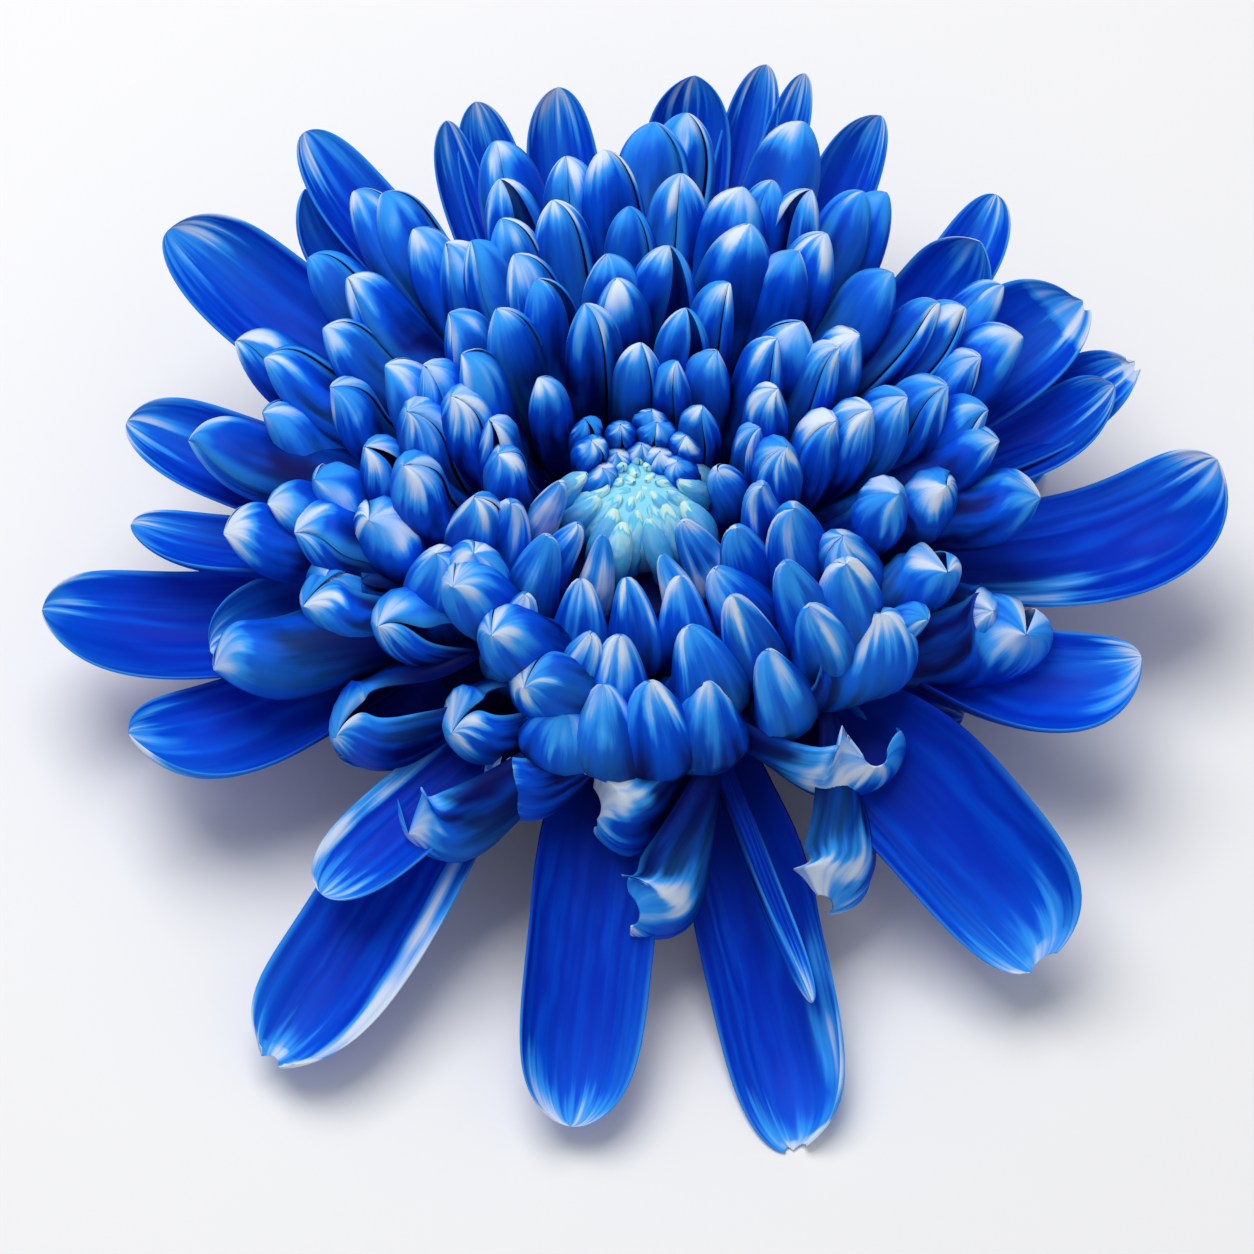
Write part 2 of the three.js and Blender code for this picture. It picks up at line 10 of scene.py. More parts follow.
import bpy
import numpy as np
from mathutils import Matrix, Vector


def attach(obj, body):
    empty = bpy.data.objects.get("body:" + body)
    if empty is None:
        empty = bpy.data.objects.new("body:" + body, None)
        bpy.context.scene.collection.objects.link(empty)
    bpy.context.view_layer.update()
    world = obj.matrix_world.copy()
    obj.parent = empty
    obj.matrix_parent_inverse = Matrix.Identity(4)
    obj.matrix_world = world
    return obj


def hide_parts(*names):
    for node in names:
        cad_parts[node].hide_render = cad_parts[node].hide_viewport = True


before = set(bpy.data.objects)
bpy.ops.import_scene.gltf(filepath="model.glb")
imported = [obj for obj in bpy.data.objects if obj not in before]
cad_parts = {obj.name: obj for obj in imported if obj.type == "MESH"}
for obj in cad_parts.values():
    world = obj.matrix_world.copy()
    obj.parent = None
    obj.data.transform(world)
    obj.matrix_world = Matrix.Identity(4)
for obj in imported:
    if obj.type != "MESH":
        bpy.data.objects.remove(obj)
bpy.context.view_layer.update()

bl_info = {
    "name": "Chrysanthemum bloom",
    "version": (1, 0, 0),
    "blender": (4, 5, 0),
    "location": "View3D > Sidebar > Bloom",
    "description": "Builds a cut chrysanthemum bloom round its packed solids, with a studio to show it in",
    "category": "Add Mesh",
}

MM = 0.001
PHOTO_WIDTH = 1254  # pixels across the photograph

# The bloom's own axis, from the middle of its box
AXIS = np.array([0.603, -2.194, 0.0])

EYE_HEIGHT = 38.0  # top of the green eye above the surface
EYE_FLORETS = 30
YOUNG_FLORETS = 31  # slender ones that fill the eye
CAPSULES = 9  # small round florets in an arc behind the eye
CAPSULE_SEED = 901
CAPSULE_ARC = (22, 162)  # azimuths that the arc runs between
RULE_PETALS = 120  # florets placed at the golden angle, the eye's included
GOLDEN_ANGLE = 137.50776
# Along is where a petal has the colour of the core, then come its quads up and around
# The core of the petals takes their dark root colour at along 0: painted shade of the crowded depths among
# the petal roots
CORE = {"radius": 26.0, "height": 20.0, "up": 9.0, "down": 4.5, "along": 0, "rings": 24, "around": 96}
EYE_CORE = {"radius": 6.6, "height": 33.0, "up": 3.6, "down": 9.0, "along": 0.7, "rings": 12, "around": 48}
STEM_RADIUS = 3.6
STEM_RIBS = 9
RIB_HEIGHT = 0.035  # share of the radius by which a rib stands out
RIBBED = (1, 7)  # radii between which the stem is ribbed: its closed ends and its wide cup aren't
STEM_AROUND = 72  # quads around the stem
LOWEST = 1.2  # below this height petals are pressed towards the surface that they rest on
STEM_END = 0.4  # the cut end of the stem hangs this far above the surface
CALYX = {"radius": 12.6, "top": 15.3, "foot": 7.5}
BRACT_ROWS = (
    {"count": 11, "root": 5.2, "reach": 13.6, "low": 7.4, "high": 12.8, "width": 5.2},
    {"count": 13, "root": 8.2, "reach": 15.4, "low": 10.4, "high": 14.6, "width": 5.4},
)

# Height of the petals' tips by their reach, towards the viewer and away
FRONT_PROFILE = ((0, 38), (9, 39.5), (21, 40), (28, 36), (36, 21), (44, 11), (54, 5), (64, -0.5))
BACK_PROFILE = ((0, 38), (9, 41), (21, 45), (38, 42), (54, 34), (66, 29))
# Width of the incurved petals by their reach
INNER_WIDTH = ((9, 4.8), (13, 6.2), (20, 8.2), (28, 9.4), (37, 10.2))
# Share of that width by nearness, which is 0 for a petal that points away from the viewer and 1 for
# one that points towards the viewer
SLIMNESS = ((0, 0.76), (0.35, 0.82), (0.6, 1), (1, 1))
# Pitch of the front arcs' petals by nearness, and the rise of their roots by reach
FRONT_PITCH = ((0.3, 75), (0.5, 88), (0.75, 112), (1, 128))
FRONT_RISE = ((8, 50), (14, 22), (22, 2), (36, -4))
# Pitch of the golden-angle petals by reach, behind and before the eye, and their rise by their order
PITCH_BEHIND = ((9, 98), (17, 66), (25, 56), (37, 50))
PITCH_BEFORE = ((9, 130), (17, 126), (25, 120), (37, 112))
INNER_RISE = ((0, 58), (0.3, 32), (0.6, 18), (1, 6))
# Staggered arcs of incurved petals before the eye
FRONT_RINGS = {
    "count": 4, "first": 10, "apart": 5.6, "from": -172, "to": -8, "overlap": 0.78, "stagger": 0.25,
    "uneven": 0.4,
}

# Azimuth, reach, width and pitch at the tip of each outermost petal, read off the
# photograph, then what sets it apart from the others
GUARD_ROW = (
    (14, 69, 17, 42, dict(cup=54, tip_turn=14, turn=8, twist=14, white_from=0.05, white_right=0.9,
                          white_gain=0.6)),
    (-9, 57, 15, 20, dict(tip_turn=10, twist=24)),
    (-46, 60, 17, -25, dict(cup=50, white_tip=0.05, blunt=5, nib=2.4, ragged=0.4)),
    (-75, 63, 15.5, -12, dict(cup=48, lift=-3.4, roll_left=30, white_from=0.3, white_left=0.7,
                              white_gain=0.7, white_tip=0.04, nib=2.4, ragged=0.4)),
    (-97, 60, 14.5, -18, dict(cup=52, roll_right=30, white_from=0.7, white_right=0.6, white_tip=0.03,
                              nib=1.6)),
    (-127, 66, 15, -8, dict(cup=46, turn=6, white_left=0.65, white_from=0.2, ragged=0.6, nib=2.8,
                            white_tip=0.05)),
    (-133, 50, 11, -16, dict(cup=60, turn=-8, white_right=0.5)),
    (-163, 60, 15.5, 22, dict(turn=4, twist=-8, cup=54, white_from=0.86, white_left=0.5)),
    (-178, 68, 15, 24, dict(cup=60, turn=-6, twist=-4)),
    (174, 58, 9, 24, dict(cup=80)),
    (162, 62, 11, 22, dict(cup=80, turn=-6)),
    (143, 69, 13, 28, dict(cup=64, lift=4)),
    (129, 63, 9, 58, dict(turn=6)),
    (126, 67, 9, 34, dict(cup=80, turn=10, lift=4)),
    (112, 61, 6.5, 52), (108, 63, 8, 52), (99, 62, 9, 48),
    (84, 65, 10.5, 66), (77, 68, 7, 50),
    (73, 68, 5.5, 50, dict(turn=-5)),
    (64, 66, 8.5, 48),
    (49, 64, 9, 36, dict(tip_turn=14)),
    (45, 57, 11.5, 64),
    (33, 62, 14, 30, dict(cup=52, nib=2.4, ragged=0.5, white_tip=0.1)),
    (25, 64, 10, 36, dict(nib=1.8, ragged=0.6, white_tip=0.05)),
    (23, 60, 9.5, 52),
)
# The same for the second row, and for the front petals that show one by one
SECOND_ROW = (
    (-50, 40, 15, 46, dict(turn=12, tip_turn=20, twist=-50, wave=0.5, cup=112, cup_tip=116,
                           white_right=0.9, white_from=0.42, ragged=0.4)),
    (-58, 47, 13, 6, dict(turn=-12, tip_turn=-56, twist=95, wave=0.7, cup=84, cup_tip=84, ragged=0.8,
                          white_left=1, white_from=0.48)),
    (-69, 51, 2.8, -18, dict(turn=2, cup=100, cup_tip=120, grooves=0.4, stripe=0.8, white_from=0.7)),
    (-88, 45, 13, 24, dict(turn=-14, tip_turn=-60, twist=85, wave=0.7, cup=90, cup_tip=90, lift=3,
                           ragged=0.8, white_left=1, white_from=0.52)),
    (-96, 37, 14, 18, dict(turn=-22, tip_turn=-74, twist=85, wave=0.8, cup=92, cup_tip=98, ragged=1,
                           white_left=0.9, white_from=0.42)),
    (-114, 37, 11.5, 22, dict(turn=-18, tip_turn=-52, twist=76, cup=154, cup_tip=172, white_left=0.12)),
    (-125, 44, 15, 24, dict(turn=-12, tip_turn=-40, twist=52, wave=0.2, cup=118, cup_tip=124, blunt=3.6,
                            white_left=0.3)),
    (-126, 35, 11, 32, dict(turn=-14, tip_turn=-46, twist=64, cup=156, cup_tip=175)),
    (-142, 42, 13, 30, dict(turn=-8, tip_turn=-30, twist=74, cup=158, cup_tip=174, blunt=3,
                            white_left=0.15, white_right=0.1)),
    (-115, 30, 10.5, 36, dict(turn=-16, tip_turn=-56, twist=64, cup=156, cup_tip=176)),
    (-126, 28, 9.5, 46, dict(turn=-12, tip_turn=-46, twist=60, cup=162, cup_tip=178)),
    (-141, 27, 9, 54, dict(turn=-8, tip_turn=-32, twist=54, cup=162, cup_tip=178)),
    (-150, 34, 10, 44, dict(turn=-8, tip_turn=-26, twist=54, cup=160, cup_tip=177)),
    (-163, 40, 10.5, 44, dict(turn=-6, tip_turn=-12, twist=46, cup=158, cup_tip=176)),
    (-161, 50, 12.5, 20, dict(tip_turn=-10, twist=48, cup=140, cup_tip=156, white_left=0.15)),
    (-176, 40, 10, 46), (180, 48, 11, 36), (177, 43, 9.5, 42),
    (166, 54, 11, 30), (154, 49, 10, 38), (152, 54, 10.5, 36),
    (148, 44, 9.5, 44), (139, 46, 9.5, 44), (138, 53, 10, 38),
    (127, 57, 9.5, 40), (127, 45, 9.5, 50), (125, 54, 10, 44),
    (123, 37, 8.5, 56), (116, 38, 9, 58), (109, 54, 10.5, 48),
    (106, 38, 9, 60), (101, 47, 9.5, 56), (92, 35, 8, 62),
    (88, 54, 12, 54),
    (84, 56, 11, 50, dict(turn=-6)),
    (83, 42, 9.5, 58), (70, 59, 11, 44), (69, 45, 8.5, 54),
    (58, 51, 9.5, 48), (57, 35, 8.5, 60),
    (56, 53, 8.5, 46, dict(turn=5)),
    (56, 40, 9, 54), (44, 42, 9.5, 50), (37, 54, 9, 40), (37, 44, 8, 44),
    (35, 47, 9.5, 42), (29, 52, 11, 40), (18, 43, 10, 48),
    (13, 43, 9.5, 46),
    (5, 47, 11, 44, dict(turn=-8)),
    (-18, 44, 13, 76, dict(turn=18, tip_turn=-14, twist=-66, cup=142, cup_tip=164)),
    (-15, 36, 9.5, 72, dict(turn=16, twist=-50, wave=0.4, cup=138, cup_tip=158)),
    (-23, 35, 5.5, 60, dict(turn=12)),
    (-33, 31, 12.5, 115, dict(turn=21, tip_turn=-34, cup=104, cup_tip=140, end=0.7, widest=0.5, blunt=2.4)),
)
# Azimuth, reach and height of the low petals, most of them under the far side
LOW_ROW = (
    (32, 56, -3), (58, 54, 6), (90, 55, 3), (120, 54, 6), (150, 56, -3), (-20, 38, 8),
    (-150, 38, 10), (-172, 48, 12), (5, 38, 12),
)
LOW_WIDTH = 11
LOW_PITCH = -14
MOST_LEAN = 0.6  # how far a listed petal may lean aside of its midrib, against half its width
ROOT_CLOSER = 8  # a listed petal's root is at most this much more cupped than its middle
FIRST_ROW_SEED = 501  # seeds of the petals listed above start here
FRONT_RING_SEED = 701
SIDE_TILT = 22  # most that a petal at the sides is turned about its length, in degrees
FRONT_EDGE = 30  # the rule's florets that point towards the viewer reach no further
FRONT_SHARE = 0.62  # nearness past which a floret counts as pointing towards the viewer
PALE_REACH = 12.5  # most petals of the front arcs inside this reach are pale
ARC_SPACING = 4.2  # least distance of a front arc's tip to the tips placed before it
PETAL_SPACING = 6  # the same for a floret of the rule
FILL_SPACING = 4.8  # the same for the later florets that fill the gaps between those

# A petal's values where its row or rule gives none, with angles in degrees. The midrib leaves the
# root at rise and ends at pitch, turn and tip_turn bend it seen from above, and start and end say
# how far its ends run straight. A cup is half the angle that a section curls through, deep flattens
# it and hood closes it over the tip. Stripe and the white values are shares of the width or length
PLAIN_PETAL = {
    "azimuth": 0, "reach": 30, "height": 38, "pitch": 90, "root_radius": 8, "root_height": 22, "rise": 20,
    "start": 0.4, "end": 0.33, "turn": 0, "tip_turn": 0, "twist": 0, "lean": 0, "wave": 0, "seed": 0,
    "width": 9, "neck": 0.7, "widest": 0.64, "deep": 0.75, "blunt": 3.3, "hood": 1.0, "nib": 0.4,
    "cup_root": 150, "cup": 140, "cup_tip": 165, "spiral": 0.07, "roll_left": 0, "roll_right": 0,
    "grooves": 3, "groove_depth": 0.012, "ragged": 0, "white_left": 0, "white_right": 0,
    "white_from": 0.35, "white_tip": 0, "white_gain": 1, "stripe": 0,
}
# What each row's petals have in common, and how their rise grows with the height of the tip: the
# rise at no height, the full rise and the height that it is full at
GUARD_BASE = {
    "root_radius": 12, "root_height": 18, "cup_root": 80, "cup": 62, "cup_tip": 62, "end": 0.36,
    "widest": 0.6, "deep": 0.8, "blunt": 4.4, "hood": 0.4, "nib": 0.6, "grooves": 5, "spiral": 0,
    "white_tip": 0.025,
}
SECOND_BASE = {
    "root_radius": 11, "root_height": 21, "cup_root": 174, "cup": 178, "cup_tip": 179.5, "start": 0.42,
    "end": 0.34, "grooves": 4, "twist": None,  # no twist of its own: the rule for the sides gives it
}
LOW_BASE = {
    "root_radius": 12, "root_height": 16.5, "cup_root": 70, "cup": 56, "cup_tip": 60, "deep": 0.8,
    "blunt": 2.4, "hood": 0.5, "grooves": 5, "spiral": 0,
}
GUARD_RISE = (-8, 12, 25)
SECOND_RISE = (-8, 18, 34)
LOW_RISE = (-6, -6, 1)

# Stretch of a petal's length over which each form grows to its full size
GROWS = {
    "twist": (0, 0.75), "opening": (0, 0.5), "closing": (0.6, 0.98), "lean": (0, 0.5),
    "roll": (0.3, 0.6), "teeth": (0.8, 1), "hood": (0.55, 1), "wave": (0.45, 0.85), "grooves": (0.1, 0.4),
}
# Channels of the repeatable draws; the jitter of a rule takes channels 0 to 7
CHANNELS = {
    "stagger": 8, "ruffle": 9, "groove": 10, "fine groove": 11, "opened": 12, "lean": 13, "tooth": 14,
    "teeth": 15, "stripe": 17, "stripe from": 18, "pale": 19, "tint": 50,
}
CHOSEN_ABOVE = {"pale": 0.15, "opened": 0.82}  # draws above these choose a petal
TEETH = 1.1  # least number of teeth along a torn end; the most is twice that
TOOTH_DEPTH = 0.011  # half of a tooth's depth, as a share of the petal's length
WAVE_PHASE = 6  # most that a draw shifts a petal's teeth and grooves, in radians
RUFFLES = 4.4  # waves along the margin of a waved petal
NIB_LENGTH = 0.03  # share of a petal's length that its nib takes
ROLLED_FROM = 0.5  # share of the half width inside which a margin doesn't roll
HOOD_CLOSED = 0.999  # a full hood would end in a vertical wall
FINE_GROOVES = {"times": 1.7, "depth": 0.5}  # finer grooves: number and depth against the others'
THINNER = {"margin": 0.5, "tip": 0.6}  # share of its thickness that a petal loses there
WHITE_FADE = 0.3  # shares of the width and length over which the white begins
TIP_FADE = 0.03
NO_RADIUS = 0.01  # radius of a ring that closes a core or stem
CORE_TINT = 0.3  # stands in for the seed of a petal in the colours of a core
STEM_TINT = 0.5
# Where the two faces of a petal lie in its cell of the surface map, as shares of the cell
FACE_IN_CELL = {"left": 0.03, "wide": 0.45, "next": 0.49, "low": 0.02, "tall": 0.96}

# Quads across and along a petal
INNER_GRID = (14, 24)
SECOND_GRID = (18, 34)
OUTER_GRID = (20, 44)
EYE_GRID = (12, 18)
BRACT_GRID = (8, 14)
BRACT_THICKNESS = 0.8

# Where the top of the eye lies in the photograph, in pixels from its left and its top
EYE_RIGHT = 640
EYE_DOWN = 481
SENSOR_WIDTH = 36.0
# Places of the stage, in metres
FLOOR_REACH = 3.0
FLOOR_GRAIN = {"scale": 40.0, "detail": 2.0, "darkest": 0.985}
FLOOR_ROUGHNESS = 0.7
SKY_COLOUR = (0.97, 0.98, 1.0, 1)
LIT_POINT = (0, 0, 0.03)
KEY_LIGHT = {"place": (-0.12, 0.16, 0.62), "size": 0.45}
FILL_LIGHT = {"place": (0.25, -0.55, 0.45), "size": 0.6}


def linear(red, green, blue):
    """Scene-linear colour of an 8-bit screen colour."""
    def channel(value):
        share = value / 255
        return share / 12.92 if share <= 0.04045 else ((share + 0.055) / 1.055) ** 2.4
    return channel(red), channel(green), channel(blue)


def mix(a, b, share):
    return a + (b - a) * share


def smooth(x):
    x = np.clip(x, 0.0, 1.0)
    return x * x * (3 - 2 * x)


def grown(form, along):
    """Share of its full size that a form has along a petal."""
    start, full = GROWS[form]
    return smooth((along - start) / (full - start))


def draw(seed, channel):
    """Repeatable number from 0 to 1 for a seed and a channel, given by number or name."""
    x = math.sin(seed * 12.9898 + CHANNELS.get(channel, channel) * 78.233) * 43758.5453
    return x - math.floor(x)


def chosen(seed, channel):
    return draw(seed, channel) > CHOSEN_ABOVE[channel]


def jitters(seed):
    """Repeatable numbers from -1 to 1 for a seed."""
    return [draw(seed, channel) * 2 - 1 for channel in range(8)]


def through(x, stops):
    """Value at x of a line through the stops, each a pair of x and value."""
    for (x0, v0), (x1, v1) in zip(stops, stops[1:]):
        if x <= x1:
            return mix(v0, v1, max(0.0, (x - x0) / (x1 - x0)))
    return stops[-1][1]


def polar(azimuth, radius, height):
    a = math.radians(azimuth)
    return np.array([radius * math.cos(a), radius * math.sin(a), height])


def heading(azimuth, pitch):
    return polar(azimuth, math.cos(math.radians(pitch)), math.sin(math.radians(pitch)))


def unit(vectors):
    return vectors / np.linalg.norm(vectors, axis=-1, keepdims=True)


def midrib(petal, along):
    """Places and axes (across, inward) of a petal's midrib at shares of its length."""
    root_azimuth = petal["azimuth"] - petal["turn"]
    tip_heading = petal["azimuth"] + petal["tip_turn"]
    root = polar(root_azimuth, petal["root_radius"], petal["root_height"])
    tip = polar(petal["azimuth"], petal["reach"], petal["height"])
    chord = np.linalg.norm(tip - root)
    early = root + heading(root_azimuth, petal["rise"]) * chord * petal["start"]
    late = tip - heading(tip_heading, petal["pitch"]) * chord * petal["end"]
    t = along[..., None]
    rest = 1 - t
    place = root * rest**3 + early * 3 * rest**2 * t + late * 3 * rest * t**2 + tip * t**3
    forward = unit((early - root) * rest**2 + (late - early) * 2 * rest * t + (tip - late) * t**2)
    facing = np.radians(mix(root_azimuth, tip_heading, along))
    across = np.stack([np.sin(facing), -np.cos(facing), np.zeros_like(facing)], axis=-1)
    across = unit(across - forward * (across * forward).sum(axis=-1, keepdims=True))
    inward = np.cross(across, forward)
    twist = np.radians(petal["twist"]) * grown("twist", along)
    c, s = np.cos(twist)[..., None], np.sin(twist)[..., None]
    return place, across * c - inward * s, inward * c + across * s


def outline(petal, along):
    """Share of its full width that a petal has along it, round at the end with a small nib."""
    grow = petal["neck"] + (1 - petal["neck"]) * smooth(along / petal["widest"])
    closing = np.clip((along - petal["widest"]) / (1 - petal["widest"]), 0, 1)
    body = grow * np.sqrt(1 - closing ** petal["blunt"])
    point = petal["nib"] / petal["width"] * 2 * np.clip((1 - along) / NIB_LENGTH, 0, 1) ** 0.5
    return np.maximum(body, point)


def cup_angle(petal, along):
    """Half the angle that a petal's sections curl through."""
    opening = (petal["cup"] - petal["cup_root"]) * grown("opening", along)
    closing = (petal["cup_tip"] - petal["cup"]) * grown("closing", along)
    return np.radians(petal["cup_root"] + opening + closing)


def petal_sheet(petal, across, along, lift):
    """Points of one face of a petal over a grid; row k of the grid is one section."""
    seed = petal["seed"]
    teeth = TEETH * (1 + draw(seed, "teeth"))
    tooth = 1 + np.cos(teeth * math.pi * across + WAVE_PHASE * draw(seed, "tooth"))
    along = along * (1 - TOOTH_DEPTH * petal["ragged"] * tooth * grown("teeth", along))
    place, side_axis, inward_axis = midrib(petal, along)
    cup = cup_angle(petal, along)
    seen_half = petal["width"] / 2 * outline(petal, along)
    reach = seen_half * cup / np.sin(np.minimum(cup, math.pi / 2))
    span = across + petal["lean"] * np.abs(across) * grown("lean", along)
    rolled = smooth((np.abs(across) - ROLLED_FROM) / (1 - ROLLED_FROM)) * grown("roll", along)
    roll = np.where(across < 0, -petal["roll_left"], petal["roll_right"])
    angle = cup * span + np.radians(roll) * rolled
    middle = across.shape[1] // 2
    stretch = reach * (1 + petal["spiral"] * span)
    step = np.diff(span, axis=1) * (stretch[:, 1:] + stretch[:, :-1]) / 2
    between = (angle[:, 1:] + angle[:, :-1]) / 2
    zero = np.zeros((across.shape[0], 1))
    side = np.hstack([zero, np.cumsum(np.cos(between) * step, axis=1)])
    depth = np.hstack([zero, np.cumsum(np.sin(between) * step, axis=1)]) * petal["deep"]
    side -= side[:, middle:middle + 1]
    depth -= depth[:, middle:middle + 1]
    over = 1 - np.sqrt(1 - HOOD_CLOSED * grown("hood", along) ** 2)
    depth = depth + petal["hood"] * petal["width"] / 2 * petal["deep"] * over
    margin = across**2
    phase = RUFFLES * along + np.where(across > 0, 0.5, 0.0) + draw(seed, "ruffle")
    depth = depth + petal["wave"] * margin * grown("wave", along) * np.sin(2 * math.pi * phase)
    shown = grown("grooves", along) * np.sqrt(np.clip(1 - along, 0, 1))
    phase = math.pi * petal["grooves"] * across
    fine = np.cos(phase * FINE_GROOVES["times"] + WAVE_PHASE * draw(seed, "fine groove"))
    flute = np.cos(phase + WAVE_PHASE * draw(seed, "groove")) + FINE_GROOVES["depth"] * fine
    groove = petal["groove_depth"] * petal["width"] * flute * (1 - margin) * shown
    out = lift + groove
    side = side - out * np.sin(angle)
    depth = depth + out * np.cos(angle)
    return place + side_axis * side[..., None] + inward_axis * depth[..., None]


def cell_of(index, total):
    """Lower corner and size of one petal's cell of the surface map."""
    columns = max(1, math.ceil(math.sqrt(total * 0.5)))
    rows = math.ceil(total / columns)
    return (index % columns) / columns, (index // columns) / rows, 1 / columns, 1 / rows


def white_mask(petal, across, along):
    """How strongly a petal's white margins, white end and pale stripe show at each point."""
    side = np.where(across < 0, petal["white_left"], petal["white_right"])
    reached = smooth((along - petal["white_from"]) / min(WHITE_FADE, 1 - petal["white_from"]))
    white = (side > 0) * smooth((np.abs(across) - 1 + side) / WHITE_FADE) * reached
    white *= petal["white_gain"]
    white += smooth((along - 1 + petal["white_tip"]) / TIP_FADE) * (petal["white_tip"] > 0)
    white += (petal["stripe"] > 0) * smooth((petal["stripe"] - np.abs(across)) / WHITE_FADE) * reached
    return white


def stations(petal, steps):
    """Shares of a petal's length, half of them up to its widest point and closer near its tip."""
    rise = np.linspace(0, 1, steps + 1)
    late = petal["widest"] + (1 - petal["widest"]) * np.sin(math.pi * (rise - 0.5))
    return np.where(rise < 0.5, petal["widest"] * rise * 2, late)


def petal_grid(petal, size, thickness):
    """Points, quads and surface values of one petal, as a closed thin shell."""
    sides, steps = size
    across, along = np.meshgrid(np.linspace(-1, 1, sides + 1), stations(petal, steps))
    thin = thickness / 2 * (1 - THINNER["margin"] * np.abs(across) ** 6) * (1 - THINNER["tip"] * along**8)
    width = sides + 1
    count = width * (steps + 1)
    index = np.arange(count).reshape(steps + 1, width)
    a, b = index[:-1, :-1], index[:-1, 1:]
    d, c = index[1:, :-1], index[1:, 1:]
    upper = np.stack([a, b, c, d], axis=-1).reshape(-1, 4)
    lower = np.stack([a, d, c, b], axis=-1).reshape(-1, 4) + count
    rim = np.concatenate([index[:, 0], index[-1, 1:], index[::-1, -1][1:], index[0, ::-1][1:-1]])
    following = np.roll(rim, -1)
    edge = np.stack([rim, following, following + count, rim + count], axis=-1)
    faces = np.concatenate([upper, lower, edge])
    points = [petal_sheet(petal, across, along, face * thin).reshape(-1, 3) for face in (1, -1)]
    values = {
        "along": np.tile(along.reshape(-1), 2),
        "across": np.tile(across.reshape(-1), 2),
        "white": np.tile(white_mask(petal, across, along).reshape(-1), 2),
        "inner": np.concatenate([np.ones(count), np.zeros(count)]),
        "seed": np.full(2 * count, draw(petal["seed"], "tint")),
    }
    return np.concatenate(points), faces, values


def turned(profile, around, ribs=None):
    """Points and quads that a profile of radius and height makes as it turns about the axis."""
    turn = np.linspace(0, 2 * math.pi, around, endpoint=False)
    rings = []
    for radius, height in profile:
        out = radius * (1 + ribs(radius, turn)) if ribs else radius
        rings.append(np.stack([out * np.cos(turn), out * np.sin(turn), 0 * turn + height], -1))
    index = np.arange(len(rings) * around).reshape(len(rings), around)
    beside = np.roll(index, -1, axis=1)
    faces = np.stack([index[:-1], beside[:-1], beside[1:], index[1:]], axis=-1).reshape(-1, 4)
    return np.concatenate(rings), faces


def plain_values(along, tint):
    """Surface values of a core or stem, which has no margins and no inner face."""
    none = 0 * along
    return {"along": along, "across": none, "white": none, "inner": none, "seed": none + tint}


def core_grid(core):
    """Points, quads and surface values of a core that petals stand out of."""
    profile = []
    for angle in np.linspace(-math.pi / 2, math.pi / 2, core["rings"] + 1):
        tall = core["down"] if angle < 0 else core["up"]
        radius = max(core["radius"] * math.cos(angle), NO_RADIUS)
        profile.append((radius, core["height"] + tall * math.sin(angle)))
    points, faces = turned(profile, core["around"])
    return points, faces, plain_values(np.full(len(points), core["along"]), CORE_TINT)


def piece_from(name, parts, material):
    """One object made of grids, with their surface values and a surface map."""
    points, faces, cells = [], [], []
    values = {key: [] for key in ("along", "across", "white", "inner", "seed")}
    offset = 0
    for index, (part_points, part_faces, part_values) in enumerate(parts):
        points.append(part_points)
        faces.append(part_faces + offset)
        offset += len(part_points)
        for key, stored in values.items():
            stored.append(part_values[key])
        x, y, wide, tall = cell_of(index, len(parts))
        cells.append(np.tile([x, y, wide, tall], (len(part_points), 1)))
    points = np.concatenate(points) + AXIS
    pressed = LOWEST * np.exp(np.minimum(points[:, 2] / LOWEST - 1, 0))
    points[:, 2] = np.maximum(points[:, 2], pressed)
    points *= MM
    faces = np.concatenate(faces)
    mesh = bpy.data.meshes.new(name)
    mesh.vertices.add(len(points))
    mesh.vertices.foreach_set("co", points.ravel())
    mesh.loops.add(faces.size)
    mesh.loops.foreach_set("vertex_index", faces.ravel())
    mesh.polygons.add(len(faces))
    mesh.polygons.foreach_set("loop_start", np.arange(0, faces.size, 4))
    mesh.polygons.foreach_set("use_smooth", np.ones(len(faces), dtype=bool))
    mesh.update(calc_edges=True)
    for key, stored in values.items():
        attribute = mesh.attributes.new(key, "FLOAT", "POINT")
        attribute.data.foreach_set("value", np.concatenate(stored).astype(np.float32))
    cells = np.concatenate(cells)
    share = (np.concatenate(values["across"]) + 1) / 2
    inner = np.concatenate(values["inner"])
    face = FACE_IN_CELL
    u = cells[:, 0] + cells[:, 2] * (face["left"] + face["wide"] * share + face["next"] * inner)
    v = cells[:, 1] + cells[:, 3] * (face["low"] + face["tall"] * np.concatenate(values["along"]))
    layer = mesh.uv_layers.new(name="OFBake")
    layer.data.foreach_set("uv", np.stack([u, v], axis=-1)[faces.ravel()].ravel())
    mesh.materials.append(material)
    piece = bpy.data.objects.new(name, mesh)
    bpy.context.scene.collection.objects.link(piece)
    return piece


def nearness(azimuth):
    """How far a petal points towards the viewer, from 0 to 1."""
    return 0.5 - 0.5 * math.sin(math.radians(azimuth))


def tip_height(azimuth, reach):
    """Height of the tips over the bloom, which rolls down towards the viewer."""
    return mix(through(reach, BACK_PROFILE), through(reach, FRONT_PROFILE), nearness(azimuth))


def tilted(azimuth):
    """Twist that turns the hollow side of a petal at the sides away from the viewer."""
    return -SIDE_TILT * math.cos(math.radians(azimuth))


def slimness(azimuth):
    """Share of their listed width that the petals have, which are slimmer at the back."""
    return through(nearness(azimuth), SLIMNESS)


